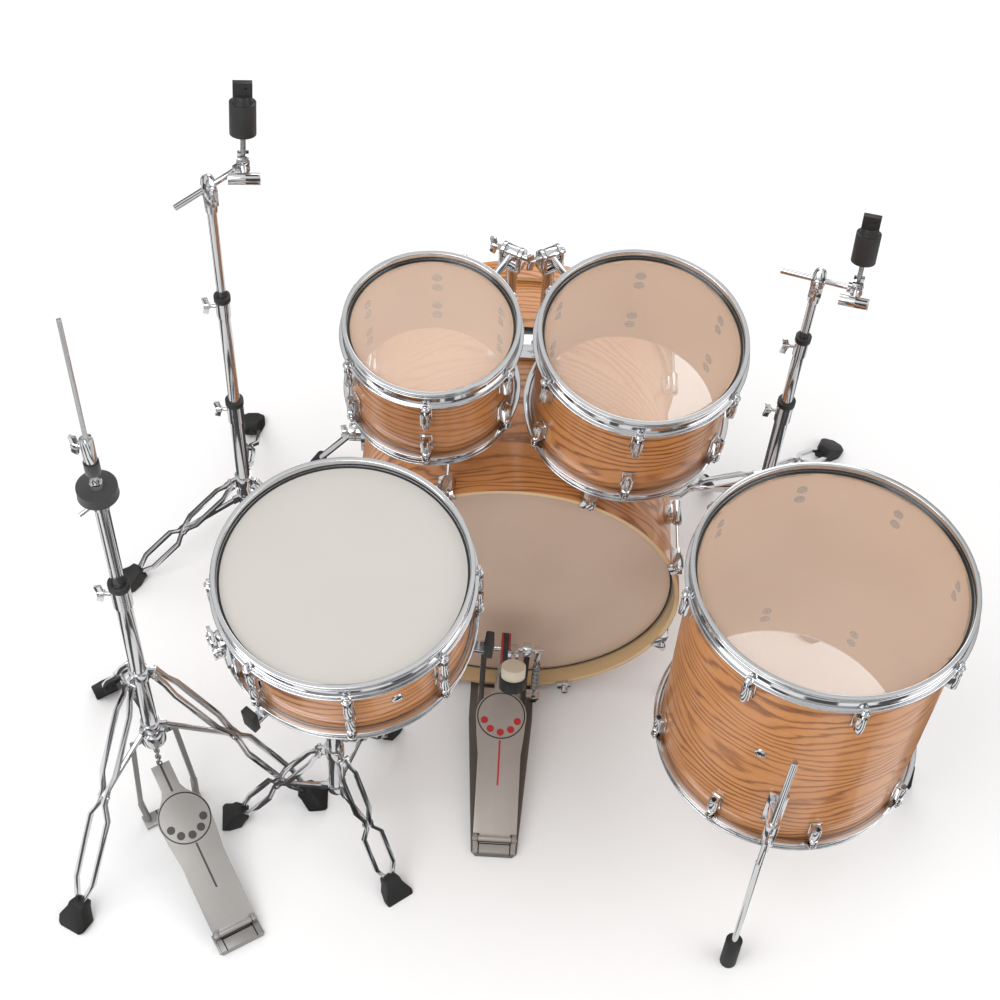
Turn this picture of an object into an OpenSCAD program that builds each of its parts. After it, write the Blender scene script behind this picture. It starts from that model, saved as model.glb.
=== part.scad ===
// Acoustic drum kit: bass drum with pedal, two toms, snare, floor tom, hi-hat stand and two boom stands.
// X runs to the drummer's right, Y away from the drummer and Z up. The floor is z = 0.
// The origin lies under the playing side's hoop, on the bass drum's centre line.

/* [Bass drum] */
// Outer diameter of the bass drum shell
bass_d = 559; // [480:1:700]
// Depth of the bass drum shell
bass_depth = 470; // [380:1:580]
// Width of each wooden hoop
bass_hoop_w = 43; // [34:1:55]
// Radial thickness of each wooden hoop
bass_hoop_t = 8; // [6:0.5:12]
// Distance from a hoop's outer edge to its head
bass_setback = 27.5; // [24:0.5:33]
// Claws and lugs on each bass head
bass_claw_count = 8; // [6:1:12]
// Height of the bass hoops above the floor
bass_lift = 8; // [8:1:30]

/* [Toms] */
// Diameter of the small tom
small_tom_d = 254; // [200:1:310]
// Depth of the small tom
small_tom_depth = 165; // [130:1:200]
// Diameter of the large tom
large_tom_d = 305; // [240:1:370]
// Depth of the large tom
large_tom_depth = 200; // [160:1:205]
// Height of the tom heads above the bass drum shell
tom_rise = 275; // [265:1:330]
// Space between the two toms' ear circles
tom_gap = 5; // [4:1:60]
// Tension rods on each tom head
tom_lug_count = 6; // [5:1:8]
// Backward tilt of the small tom
small_tom_tilt = 7.5; // [0:0.5:12]
// Backward tilt of the large tom
large_tom_tilt = 8.5; // [0:0.5:12]

/* [Floor tom] */
// Diameter of the floor tom
floor_tom_d = 406; // [330:1:490]
// Depth of the floor tom shell
floor_tom_depth = 425; // [350:1:480]
// Height of the floor tom's head
floor_tom_head_z = 719; // [600:1:800]
// Tension rods on each floor tom head
floor_tom_lug_count = 8; // [6:1:10]
// Radius of the floor tom's leg rods
floor_leg_r = 5; // [4:0.5:6.5]

/* [Snare] */
// Diameter of the snare drum
snare_d = 356; // [330:1:430]
// Depth of the snare drum shell
snare_depth = 140; // [115:1:170]
// Height of the snare drum's head
snare_head_z = 759; // [700:1:840]
// Tension rods on each snare head
snare_lug_count = 8; // [6:1:10]
// Backward tilt of the snare drum
snare_tilt = 6.6; // [0:0.2:12]

/* [Shells and hoops] */
// Wall thickness of the drum shells
shell_t = 7; // [5:0.5:12]
// Sheet thickness of the steel hoops
hoop_t = 2.3; // [1.6:0.1:3]
// Height of a steel hoop's rim above the head
rim_rise = 14; // [10:0.5:18]
// Radius of a tension rod
rod_r = 3; // [2.5:0.5:4]

/* [Stands] */
// Outer radius of the stands' lower tubes
lower_tube_r = 12.7; // [11:0.1:16]
// Outer radius of the stands' upper tubes
upper_tube_r = 8; // [6:0.1:9]
// Wall of every stand tube
tube_wall = 1.6; // [1.2:0.1:2]
// Height of a leg's two pressed strips
strip_h = 8; // [5:1:12]
// Width of one pressed strip seen from above
strip_w = 7; // [5:0.5:9]
// Half the widest span over a leg's two strips
leg_bow = 20; // [16:1:24]
// Height of the boom clamp on the left cymbal stand
left_boom_z = 887; // [800:1:1050]
// Height of the boom clamp on the right cymbal stand
right_boom_z = 690; // [640:1:900]
// Height of the hi-hat seat's felt
hihat_seat_z = 878; // [800:1:950]
// Height of the hi-hat pull rod's tip
hihat_rod_z = 1213; // [1120:1:1300]
// Radius of the hi-hat's sliding tube
hihat_tube_r = 11.2; // [9:0.1:12.5]

/* [Pedals] */
// Length of the bass pedal from heel to hoop
pedal_len = 346; // [300:1:400]
// Width of both footboards at the heel
board_w = 76; // [66:1:84]
// Radius of the round plate on both footboards
board_disc_r = 45.5; // [42:0.5:50]
// Height of the bass pedal's axle
axle_z = 185; // [165:1:200]
// Radius of the cam that the chain runs over
cam_r = 28; // [22:1:30]
// Distance from the axle to the beater's centre
beater_reach = 145; // [138:1:152]
// Radius of the beater
beater_r = 22; // [18:1:26]

/* [Fits] */
// Radial clearance of a turning or sliding fit
fit = 0.05; // [0.02:0.01:0.1]
// Gap between pieces that only lie side by side
gap = 0.4; // [0.3:0.1:1]

/* [Hidden] */
$fn = 64;

chrome = [0.78, 0.79, 0.81];
steel = [0.55, 0.56, 0.58];
black = [0.07, 0.07, 0.07];
veneer = [0.80, 0.47, 0.20];
maple = [0.90, 0.78, 0.58];
film = [0.86, 0.74, 0.64];
coated = [0.84, 0.82, 0.79];
cream = [0.90, 0.87, 0.78];

film_t = 1;
collar_depth = 10;
collar_out = 4;
hoop_drop = 15;
hoop_reach = 13;
ear_r = 7;

bass_r = bass_d / 2;
bass_hoop_in = bass_r + collar_out + gap;
bass_hoop_r = bass_hoop_in + bass_hoop_t;
bass_z = bass_hoop_r + bass_lift;
bass_top = bass_z + bass_r;
claw_step = 360 / bass_claw_count;

// The toms stand side by side over the bass drum, and each post's arm reaches its tom.
small_hoop_r = small_tom_d / 2 + collar_out + gap + hoop_reach;
large_hoop_r = large_tom_d / 2 + collar_out + gap + hoop_reach;
tom_mid_x = -1;
tom_y = 98;
tom_z = bass_top + tom_rise;
small_tom_at = [tom_mid_x - tom_gap / 2 - small_hoop_r, tom_y, tom_z];
large_tom_at = [tom_mid_x + tom_gap / 2 + large_hoop_r, tom_y, tom_z];
post_y = 330;
post_x = 30;
post_r = 9.5;
post_top = tom_z - 60;
small_post = [tom_mid_x - post_x, post_y, post_top];
large_post = [tom_mid_x + post_x, post_y, post_top];

floor_hoop_r = floor_tom_d / 2 + collar_out + gap + hoop_reach;
floor_tom_inset = 37.5;
floor_tom_at = [bass_d / 2 - floor_tom_inset + floor_hoop_r, -10 - floor_hoop_r, floor_tom_head_z];
floor_leg_angles = [-102, 16, 120];
floor_leg_out = floor_hoop_r + 24;
floor_bracket_z = floor_tom_head_z - floor_tom_depth * 0.76;

snare_at = [-244, -299, snare_head_z];
snare_r = snare_d / 2;
snare_turn = -1.8;
snare_low = -(snare_depth + 2 * film_t + rim_rise);
snare_lugs_from = -84;
strainer_a = snare_lugs_from - 1.5 * 360 / snare_lug_count;
basket_angles = [-128, -8, 112];
basket_r = snare_r + collar_out + hoop_reach + ear_r + 4;
snare_pole = [-277, -276];

hihat_pole = [-579, -272];
hihat_heading = -57.2;
hihat_collar_z = 652;
hihat_tail_z = 221;
left_pole = [-517, 340];
right_pole = [492, 420];
boom_r = 5;
boom_len = 66;

axle_y = -34;
axle_r = 5;
axle_at = [0, axle_y, axle_z];
post_gap = 38;
hinge_y = 26 - pedal_len;
hinge_z = 18;
board_toe_z = 96;
beater_lean = 52;
beater_set = 14.2;
beater_x = 13;

function polar(r, a, z = 0) = [r * cos(a), r * sin(a), z];
function ring_angles(n, from) = [for (k = [0 : n - 1]) from + k * 360 / n];

// ---------- shared shapes ----------

// A round rod between two points
module rod(p, q, r) {
    d = q - p;
    translate(p)
        rotate([0, acos(d[2] / norm(d)), atan2(d[1], d[0])])
            cylinder(r = r, h = norm(d));
}

// A flat bar from p to q in the XZ plane, w wide across it
module flat_bar(p, q, w, t) {
    d = q - p;
    translate([p[0], 0, p[1]])
        rotate([0, -atan2(d[1], d[0]), 0])
            translate([0, -w / 2, -t / 2])
                cube([norm(d), w, t]);
}

// A plain tube standing on z = 0
module tube(outer, inner, h) {
    difference() {
        cylinder(r = outer, h = h);
        translate([0, 0, -1]) cylinder(r = inner, h = h + 2);
    }
}

// A wing bolt: its shank lies along +X from the origin, and its two wings stand up and down
module wing_bolt(reach, span = 17) {
    rotate([0, 90, 0]) cylinder(r = 3.2, h = reach);
    translate([reach - 2, 0, 0]) rotate([0, 90, 0]) cylinder(r = 6, h = 10);
    for (s = [-1, 1])
        translate([reach + 5, -2.5, s * 9]) rotate([0, s * 12, 0])
            translate([-5, 0, -span / 2]) cube([10, 5, span]);
}

module place(at, tilt, turn = 0) {
    translate(at) rotate([tilt, turn, 0]) children();
}

// ---------- drums ----------
// A drum's own frame has its origin at the middle of the top head's upper face.

module shell_ring(r, depth) {
    translate([0, 0, -film_t - depth]) tube(r, r - shell_t, depth);
}

// One head: a film with its collar around the shell
module head(r) {
    difference() {
        translate([0, 0, -collar_depth]) cylinder(r = r + collar_out, h = collar_depth);
        translate([0, 0, -collar_depth - 1]) cylinder(r = r + gap, h = collar_depth + 1 - film_t);
    }
}

module both_ends(depth) {
    children();
    translate([0, 0, -depth - 2 * film_t]) mirror([0, 0, 1]) children();
}

// One triple-flanged steel hoop with its ears
module steel_hoop(r, angles) {
    inner = r + collar_out + gap;
    difference() {
        union() {
            rotate_extrude() polygon([
                [inner, -hoop_drop], [inner + hoop_reach - 4, -hoop_drop],
                [inner + hoop_reach - 4, hoop_t - hoop_drop], [inner + hoop_t, hoop_t - hoop_drop],
                [inner + hoop_t, gap + hoop_t], [r + 1 + hoop_t, gap + hoop_t],
                [r + 1 + hoop_t, rim_rise - hoop_t], [inner + 4, rim_rise - hoop_t],
                [inner + 4, rim_rise], [r + 1, rim_rise], [r + 1, gap], [inner, gap]
            ]);
            for (a = angles)
                translate(polar(r + hoop_reach, a, -hoop_drop)) cylinder(r = ear_r, h = hoop_t);
        }
        translate([0, 0, -hoop_drop - 1]) cylinder(r = inner, h = hoop_t + 2);
        for (a = angles)
            translate(polar(r + hoop_reach, a, -hoop_drop - 1)) cylinder(r = rod_r + gap, h = hoop_t + 2);
    }
}

// A tension rod with its washer and square head
module tension_rod(r, a, length) {
    rotate([0, 0, a]) translate([r + hoop_reach, 0, 0]) {
        translate([0, 0, -hoop_drop - length]) cylinder(r = rod_r, h = length + hoop_t);
        translate([0, 0, hoop_t - hoop_drop]) cylinder(r = 5, h = 5);
        translate([-3, -3, hoop_t - hoop_drop + 5]) cube([6, 6, 5]);
    }
}

// The barrel of a lug and the foot that holds it to the shell, from z = low to z = high
module lug_body(r, a, low, high, width) {
    difference() {
        rotate([0, 0, a]) {
            translate([r + hoop_reach, 0, low]) cylinder(r = width / 2, h = high - low);
            translate([r - 3, -width * 0.4, low + 4]) cube([hoop_reach + 3, width * 0.8, high - low - 8]);
        }
        translate([0, 0, low - 1]) cylinder(r = r + gap, h = high - low + 2);
    }
}

module short_lugs(r, depth, angles) {
    both_ends(depth)
        for (a = angles) {
            tension_rod(r, a, 22);
            lug_body(r, a, -64, -28, 14);
        }
}

// Drum with steel hoops: one call for each kind of node
module drum_hoops(r, depth, angles) {
    color(chrome) both_ends(depth) steel_hoop(r, angles);
}
module drum_heads(r, depth) {
    color(film) both_ends(depth) head(r);
}

module in_small_tom() { place(small_tom_at, small_tom_tilt, -0.5) children(); }
module in_large_tom() { place(large_tom_at, large_tom_tilt, 2) children(); }
module in_floor_tom() { translate(floor_tom_at) children(); }
module in_snare() { place(snare_at, snare_tilt, snare_turn) children(); }

tom_angles = ring_angles(tom_lug_count, -90);
floor_angles = ring_angles(floor_tom_lug_count, -82);
snare_angles = ring_angles(snare_lug_count, snare_lugs_from);

module small_tom_shell() { color(veneer) in_small_tom() shell_ring(small_tom_d / 2, small_tom_depth); }
module small_tom_hoops() { in_small_tom() drum_hoops(small_tom_d / 2, small_tom_depth, tom_angles); }
module small_tom_heads() { in_small_tom() drum_heads(small_tom_d / 2, small_tom_depth); }
module small_tom_lugs() {
    color(chrome) in_small_tom() short_lugs(small_tom_d / 2, small_tom_depth, tom_angles);
}
module large_tom_shell() { color(veneer) in_large_tom() shell_ring(large_tom_d / 2, large_tom_depth); }
module large_tom_hoops() { in_large_tom() drum_hoops(large_tom_d / 2, large_tom_depth, tom_angles); }
module large_tom_heads() { in_large_tom() drum_heads(large_tom_d / 2, large_tom_depth); }
module large_tom_lugs() {
    color(chrome) in_large_tom() short_lugs(large_tom_d / 2, large_tom_depth, tom_angles);
}

// ---------- bass drum ----------
// The bass drum's own frame turns the drum frame so that its axis runs along Y.

module in_bass() {
    translate([0, bass_setback - film_t, bass_z]) rotate([90, 0, 0]) children();
}
bass_angles = ring_angles(bass_claw_count, 90 + claw_step / 2);

module bass_shell() { color(veneer) in_bass() shell_ring(bass_r, bass_depth); }
module bass_heads() { color(film) in_bass() both_ends(bass_depth) head(bass_r); }
module bass_hoops() {
    color(maple) in_bass() both_ends(bass_depth)
        translate([0, 0, bass_setback - film_t - bass_hoop_w]) tube(bass_hoop_r, bass_hoop_in, bass_hoop_w);
}

claw_rod_out = bass_hoop_r + 9;
module bass_claws() {
    front = bass_setback - film_t;
    color(chrome) in_bass() both_ends(bass_depth)
        for (a = bass_angles)
            rotate([0, 0, a]) {
                translate([0, 12, 0]) rotate([90, 0, 0]) linear_extrude(24) polygon([
                    [bass_hoop_in + 1, front + gap], [bass_hoop_r + gap, front + gap],
                    [bass_hoop_r + gap, front - 30], [claw_rod_out + 6, front - 30],
                    [claw_rod_out + 6, front - 6], [claw_rod_out, front + 6], [bass_hoop_in + 1, front + 6]
                ]);
                translate([claw_rod_out, 0, front - 120]) cylinder(r = rod_r, h = 128);
                translate([claw_rod_out, 0, front + 5]) cylinder(r = 6, h = 9);
            }
}

module bass_lugs() {
    front = bass_setback - film_t;
    color(chrome) in_bass() both_ends(bass_depth)
        for (a = bass_angles)
            difference() {
                rotate([0, 0, a]) {
                    translate([claw_rod_out, 0, front - 136]) tube(8, rod_r + gap, 44);
                    translate([bass_r - 4, -6.5, front - 130])
                        cube([claw_rod_out - bass_r - 2, 13, 32]);
                }
                translate([0, 0, front - 140]) cylinder(r = bass_r + gap, h = 60);
            }
}

// ---------- tom holder ----------

bracket_h = 46;
module tom_bracket() {
    color(chrome) difference() {
        union() {
            translate([tom_mid_x - 62, post_y - 36, bass_top - 12]) cube([124, 72, 20]);
            for (s = [-1, 1])
                translate([tom_mid_x + s * post_x, post_y, bass_top - 10])
                    cylinder(r = post_r + 6, h = bracket_h + 10);
            for (s = [-1, 1])
                translate([tom_mid_x + s * (post_x + post_r), post_y, bass_top + bracket_h - 14])
                    rotate([0, 90 - s * 90, 0]) wing_bolt(12);
        }
        for (s = [-1, 1])
            translate([tom_mid_x + s * post_x, post_y, bass_top + 1])
                cylinder(r = post_r + fit, h = bracket_h);
        translate([0, post_y + 40, bass_z]) rotate([90, 0, 0]) cylinder(r = bass_r + gap, h = 80, $fn = 96);
    }
}

// A post stands in the bracket, and its fork holds the arm's barrel at the top
module tom_post(at, heading) {
    foot_z = bass_top + 6;
    color(chrome) translate([at[0], at[1], 0]) rotate([0, 0, heading]) {
        translate([0, 0, foot_z]) cylinder(r = post_r, h = at[2] - 26 - foot_z);
        difference() {
            union() {
                translate([-14, -19, at[2] - 27]) cube([28, 38, 7]);
                for (s = [-1, 1])
                    translate([0, s * 19, at[2]]) rotate([s * 90, 0, 0]) cylinder(r = 14, h = 7);
                for (s = [-1, 1])
                    translate([-14, s * 15.5 - 3.5, at[2] - 27]) cube([28, 7, 27]);
            }
            translate([0, 30, at[2]]) rotate([90, 0, 0]) cylinder(r = 5 + fit, h = 60);
        }
        translate([0, 0, bass_top + bracket_h + 1]) tube(post_r + 5, post_r - 1, 14);
    }
}

// The arm: a barrel on its pin, a rod, and the mount block on the tom's shell
module tom_arm(at, centre, r) {
    reach = norm([centre[0] - at[0], centre[1] - at[1]]);
    heading = atan2(centre[1] - at[1], centre[0] - at[0]);
    color(chrome) difference() {
        translate(at) rotate([0, 0, heading]) {
            translate([0, 11, 0]) rotate([90, 0, 0]) cylinder(r = 13, h = 22);
            translate([0, 27, 0]) rotate([90, 0, 0]) cylinder(r = 5, h = 54);
            translate([0, -27, 0]) rotate([0, 0, -90]) wing_bolt(4, 14);
            rotate([0, 90, 0]) cylinder(r = 6, h = reach - r - 12);
            translate([reach - r - 52, -15, -17]) cube([34, 30, 34]);
            translate([reach - r - 20, -24, -30]) cube([30, 48, 56]);
        }
        children();
    }
}

function heading_to(from, to) = atan2(to[1] - from[1], to[0] - from[0]);

module small_tom_post() { tom_post(small_post, heading_to(small_post, small_tom_at)); }
module large_tom_post() { tom_post(large_post, heading_to(large_post, large_tom_at)); }
module small_tom_arm() {
    tom_arm(small_post, small_tom_at, small_tom_d / 2)
        in_small_tom() translate([0, 0, -200]) cylinder(r = small_tom_d / 2 + gap, h = 260);
}
module large_tom_arm() {
    tom_arm(large_post, large_tom_at, large_tom_d / 2)
        in_large_tom() translate([0, 0, -200]) cylinder(r = large_tom_d / 2 + gap, h = 260);
}

// ---------- spurs ----------

spur_y = 400;
spur_hub = [bass_r + 24, spur_y, bass_z - 62];
spur_foot = [bass_r + 122, spur_y + 108, 7];

module spur_bracket() {
    difference() {
        union() {
            translate([bass_r - 20, spur_y - 24, spur_hub[2] - 26]) cube([34, 48, 52]);
            translate([bass_r + 2, spur_y, spur_hub[2]]) rotate([0, 90, 0]) cylinder(r = 17, h = 21.6);
        }
        translate([0, spur_y + 40, bass_z]) rotate([90, 0, 0]) cylinder(r = bass_r + gap, h = 80, $fn = 96);
        translate([bass_r - 30, spur_y, spur_hub[2]]) rotate([0, 90, 0]) cylinder(r = 5 + fit, h = 60);
    }
}
module spur_brackets() {
    color(chrome) {
        spur_bracket();
        mirror([1, 0, 0]) spur_bracket();
    }
}
module spur() {
    color(chrome) {
        translate(spur_hub) rotate([0, 90, 0]) cylinder(r = 17, h = 14);
        translate(spur_hub - [16, 0, 0]) rotate([0, 90, 0]) cylinder(r = 5, h = 20);
        translate(spur_hub + [13, 0, 0]) wing_bolt(6, 14);
        rod(spur_hub + [7, 0, 0], spur_foot + [-6, -6, 16], 6.5);
    }
    color(black) difference() {
        rod(spur_foot + [-14, -14, 38], spur_foot + [3, 3, -8], 11);
        translate([0, 0, -50]) cube([1500, 1500, 100], center = true);
    }
}
module right_spur() { spur(); }
module left_spur() { mirror([1, 0, 0]) spur(); }

// ---------- bass pedal ----------

lug_x = 34;
base_half = 58;

// Two cheeks that hold a footboard's hinge pin, whose axis runs along X through the origin
module hinge_cheeks() {
    for (s = [-1, 1])
        difference() {
            translate([s * lug_x - 4, -6, -14]) cube([8, 12, 20]);
            translate([s * lug_x - 5, 0, 0]) rotate([0, 90, 0]) cylinder(r = 3 + fit, h = 10);
        }
}

module pedal_base() {
    heel_half = board_w / 2 + 2;
    color(steel) {
        linear_extrude(5) polygon([
            [-heel_half + 8, -pedal_len], [heel_half - 8, -pedal_len], [heel_half, -pedal_len + 8],
            [heel_half + 3, hinge_y + 30], [base_half, -70], [base_half, 20],
            [-base_half, 20], [-base_half, -70], [-heel_half - 3, hinge_y + 30], [-heel_half, -pedal_len + 8]
        ]);
        translate([-board_w / 2 + 1, -pedal_len + 3, 4]) cube([board_w - 2, 17, 12]);
        translate([0, hinge_y, hinge_z]) hinge_cheeks();
    }
}

module pedal_frame() {
    color(chrome) {
        for (s = [-1, 1])
            difference() {
                union() {
                    translate([s * post_gap - 5, axle_y - 11, 5 + gap]) cube([10, 22, axle_z - 5]);
                    translate([s * post_gap - 7, axle_y, axle_z]) rotate([0, 90, 0]) cylinder(r = 13, h = 14);
                }
                translate([s * post_gap - 8, axle_y, axle_z]) rotate([0, 90, 0])
                    cylinder(r = axle_r + fit, h = 16);
            }
        translate([-post_gap - 6, axle_y - 10, 5 + gap]) cube([2 * post_gap + 12, 34, 8]);
        // Clamp that grips the hoop from inside, over the base plate
        translate([-14, axle_y + 18, 5 + gap]) cube([28, 12, bass_lift + bass_hoop_t + 4]);
        translate([-14, axle_y + 18, bass_lift + bass_hoop_t + 3]) cube([28, 38, 7]);
        translate([0, axle_y + 24, bass_lift + bass_hoop_t + 8]) cylinder(r = 4, h = 22);
        // Return spring between its lever bolt and the frame's foot
        translate([post_gap + 6, axle_y - 9, 34]) cube([24, 18, 6]);
        translate([post_gap + 20, axle_y, 22]) cylinder(r = 3, h = 40);
        translate([post_gap + 20, axle_y, 22]) cylinder(r = 8, h = 9);
    }
    color(steel) translate([post_gap + 20, axle_y, 60]) cylinder(r = 7.5, h = 78);
}

// A footboard in its own frame: the hinge at the origin, the toe along +X, and the round plate
// at its own distance from the hinge
module board(length, rise, tongue, disc_at) {
    slope = atan2(rise, length);
    reach = norm([length, rise]);
    half = board_w / 2;
    side = [
        [2, 27], [8.5, 27], [8.5, half], [disc_at - 72, half], [disc_at - 34, board_disc_r - 3],
        [disc_at, board_disc_r - 0.5], [disc_at + 26, board_disc_r - 8], [disc_at + 46, tongue + 5],
        [disc_at + 58, tongue], [reach, tongue]
    ];
    far = [for (k = [len(side) - 1 : -1 : 0]) [side[k][0], -side[k][1]]];
    rotate([0, -slope, 0]) {
        linear_extrude(5, center = true) polygon(concat(side, far));
        translate([disc_at, 0, -2.5]) cylinder(r = board_disc_r, h = 5);
    }
    rotate([90, 0, 0]) translate([0, 0, -29]) cylinder(r = 5, h = 58);
    rotate([90, 0, 0]) translate([0, 0, -39]) cylinder(r = 3, h = 78);
}

module pedal_footboard() {
    color(chrome) translate([0, hinge_y, hinge_z]) rotate([0, 0, 90])
        board(axle_y + cam_r - hinge_y + 4, board_toe_z - hinge_z, 11, 222.8);
    color(steel) translate([-4, axle_y + cam_r + gap, board_toe_z - 4])
        cube([8, 5, axle_z - board_toe_z + 4]);
}

module pedal_beater() {
    color(chrome) {
        translate([-post_gap - 9, axle_y, axle_z]) rotate([0, 90, 0])
            cylinder(r = axle_r, h = 2 * post_gap + 38);
        translate(axle_at) rotate([0, 90, 0]) translate([0, 0, -8]) cylinder(r = cam_r, h = 16);
        translate(axle_at + [beater_x, 0, 0]) rotate([beater_lean, 0, 0]) {
            translate([-9, -9, 0]) cube([18, 18, 40]);
            cylinder(r = 4.5, h = beater_reach);
        }
        translate([post_gap + 14, axle_y - 8, axle_z - 26]) cube([10, 16, 30]);
    }
}

// The head is set on its rod so that its face meets the drum flat
module beater_head() {
    translate(axle_at + [beater_x, 0, 0]) rotate([beater_lean, 0, 0]) translate([0, 0, beater_reach]) {
        color(cream) difference() {
            rotate([-90 + beater_set, 0, 0]) translate([0, 0, 2]) cylinder(r = beater_r - 1.5, h = 20);
            translate([0, 0, -beater_reach]) cylinder(r = 4.5 + fit, h = beater_reach + 10);
        }
        color(black) difference() {
            rotate([-90 + beater_set, 0, 0]) translate([0, 0, -20]) cylinder(r = beater_r + 1, h = 21.6);
            translate([0, 0, -beater_reach]) cylinder(r = 4.5 + fit, h = beater_reach + 10);
        }
    }
}

// ---------- floor tom ----------

module floor_tom_shell() {
    color(veneer) in_floor_tom() difference() {
        shell_ring(floor_tom_d / 2, floor_tom_depth);
        rotate([0, 0, -115]) translate([floor_tom_d / 2 - 20, 0, -floor_tom_depth * 0.45])
            rotate([0, 90, 0]) cylinder(r = 5, h = 40);
    }
}
module floor_tom_hoops() { in_floor_tom() drum_hoops(floor_tom_d / 2, floor_tom_depth, floor_angles); }
module floor_tom_heads() { in_floor_tom() drum_heads(floor_tom_d / 2, floor_tom_depth); }
module floor_tom_lugs() {
    color(chrome) in_floor_tom() short_lugs(floor_tom_d / 2, floor_tom_depth, floor_angles);
}

// A bracket on the shell with the leg's vertical bore
module leg_bracket(a) {
    r = floor_tom_d / 2;
    at = floor_tom_at;
    difference() {
        translate([at[0], at[1], floor_bracket_z]) rotate([0, 0, a]) {
            translate([r - 4, -15, -42]) cube([10, 30, 84]);
            translate([r - 4, -10, -22]) cube([floor_leg_out - r + 4, 20, 44]);
            translate([floor_leg_out, 0, -22]) cylinder(r = floor_leg_r + 6, h = 44);
            translate([floor_leg_out + floor_leg_r, 0, 0]) wing_bolt(14);
        }
        translate([at[0], at[1], floor_bracket_z - 60]) cylinder(r = r + gap, h = 120, $fn = 96);
        translate([at[0], at[1], floor_bracket_z - 60]) translate(polar(floor_leg_out, a))
            cylinder(r = floor_leg_r + fit, h = 120);
    }
}
module floor_leg_brackets() {
    color(chrome) for (a = floor_leg_angles) leg_bracket(a);
}

// A leg rod: straight through its bracket, then bent outwards to a rubber foot
leg_top_z = floor_bracket_z + 205;
leg_bend_z = floor_bracket_z - 110;
module floor_leg(a) {
    translate([floor_tom_at[0], floor_tom_at[1], 0]) rotate([0, 0, a]) {
        color(chrome) {
            translate([floor_leg_out, 0, leg_bend_z]) cylinder(r = floor_leg_r, h = leg_top_z - leg_bend_z);
            translate([floor_leg_out, 0, leg_bend_z]) sphere(r = floor_leg_r + 0.8);
            rod([floor_leg_out, 0, leg_bend_z], [floor_leg_out + 38, 0, 34], floor_leg_r);
        }
        color(black) difference() {
            rod([floor_leg_out + 32, 0, 62], [floor_leg_out + 42, 0, -6], 14);
            translate([floor_leg_out, 0, -50]) cube([200, 200, 100], center = true);
        }
    }
}
module floor_leg_front() { floor_leg(floor_leg_angles[0]); }
module floor_leg_right() { floor_leg(floor_leg_angles[1]); }
module floor_leg_back() { floor_leg(floor_leg_angles[2]); }

// ---------- snare drum ----------

module snare_shell() {
    color(veneer) in_snare() difference() {
        shell_ring(snare_r, snare_depth);
        rotate([0, 0, snare_lugs_from + 0.5 * 360 / snare_lug_count])
            translate([snare_r - 20, 0, -snare_depth / 2]) rotate([0, 90, 0]) cylinder(r = 5, h = 40);
    }
}
module snare_hoops() { in_snare() drum_hoops(snare_r, snare_depth, snare_angles); }
module snare_heads() { color(coated) in_snare() both_ends(snare_depth) head(snare_r); }
module snare_lugs() {
    color(chrome) in_snare() {
        both_ends(snare_depth) for (a = snare_angles) tension_rod(snare_r, a, 20);
        for (a = snare_angles) lug_body(snare_r, a, 26 - snare_depth, -28, 13);
    }
}

// Strainer on one side and butt plate on the other
module snare_strainer() {
    color(chrome) in_snare() difference() {
        union() {
            rotate([0, 0, strainer_a]) {
                translate([snare_r - 4, -21, 22 - snare_depth]) cube([12, 42, snare_depth - 50]);
                translate([snare_r + 4, -13, 30 - snare_depth]) cube([12, 26, snare_depth - 66]);
                for (s = [-1, 1])
                    translate([snare_r + 14, s * 13 - 3, -66]) cube([16, 6, 22]);
                translate([snare_r + 12, 0, -38]) cylinder(r = 7, h = 12);
            }
            rotate([0, 0, strainer_a + 180])
                translate([snare_r - 4, -20, 26 - snare_depth]) cube([16, 40, 46]);
        }
        translate([0, 0, -snare_depth]) cylinder(r = snare_r + gap, h = snare_depth);
        rotate([0, 0, strainer_a]) translate([snare_r + 24, 30, -55]) rotate([90, 0, 0])
            cylinder(r = 3 + fit, h = 60);
    }
}
lever_at = snare_r + 24;
module strainer_lever() {
    color(chrome) in_snare() rotate([0, 0, strainer_a]) {
        translate([lever_at, 15.6, -55]) rotate([90, 0, 0]) cylinder(r = 3, h = 31.2);
        translate([lever_at - 4.5, -9.6, -60]) cube([9, 19.2, 34]);
        translate([lever_at - 2, -8, -28]) cube([5, 16, 22]);
    }
}
module snare_wires() {
    low = -snare_depth - 2 * film_t - 1.4;
    color(chrome) in_snare() rotate([0, 0, strainer_a]) {
        for (k = [-9 : 9])
            translate([-150, k * 3.6, low]) rotate([0, 90, 0]) cylinder(r = 0.9, h = 300);
        for (s = [-1, 1])
            translate([s * 154 - 6, -36, low - 1.2]) cube([12, 72, 2.4]);
    }
}

// ---------- snare stand ----------
// The basket shares the snare drum's frame and turns on the pole's top.

basket_hub_low = snare_low - 44;
snare_pivot = [snare_pole[0], snare_pole[1], snare_head_z + snare_low - 38];
module snare_basket() {
    color(chrome) difference() {
        union() {
            in_snare() {
                translate([0, 0, basket_hub_low]) cylinder(r = 17, h = 42);
                for (a = basket_angles)
                    rotate([0, 0, a]) {
                        translate([8, -8, snare_low - 8 - gap]) cube([basket_r - 6, 16, 8]);
                        translate([basket_r, -8, snare_low - 8]) cube([4, 16, 34]);
                    }
            }
            translate(snare_pivot + [0, 8, 0]) rotate([90, 0, 0]) cylinder(r = 13, h = 16);
            translate(snare_pivot + [0, -8, -9]) cube([28, 16, 18]);
            translate(snare_pivot + [0, -24, 0]) rotate([0, 0, -90]) wing_bolt(4);
            translate(snare_pivot + [0, 17, 0]) rotate([90, 0, 0]) cylinder(r = 4, h = 42);
        }
        in_snare() translate([0, 0, snare_low - gap]) cylinder(r = basket_r - 4, h = 60);
    }
}
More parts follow.
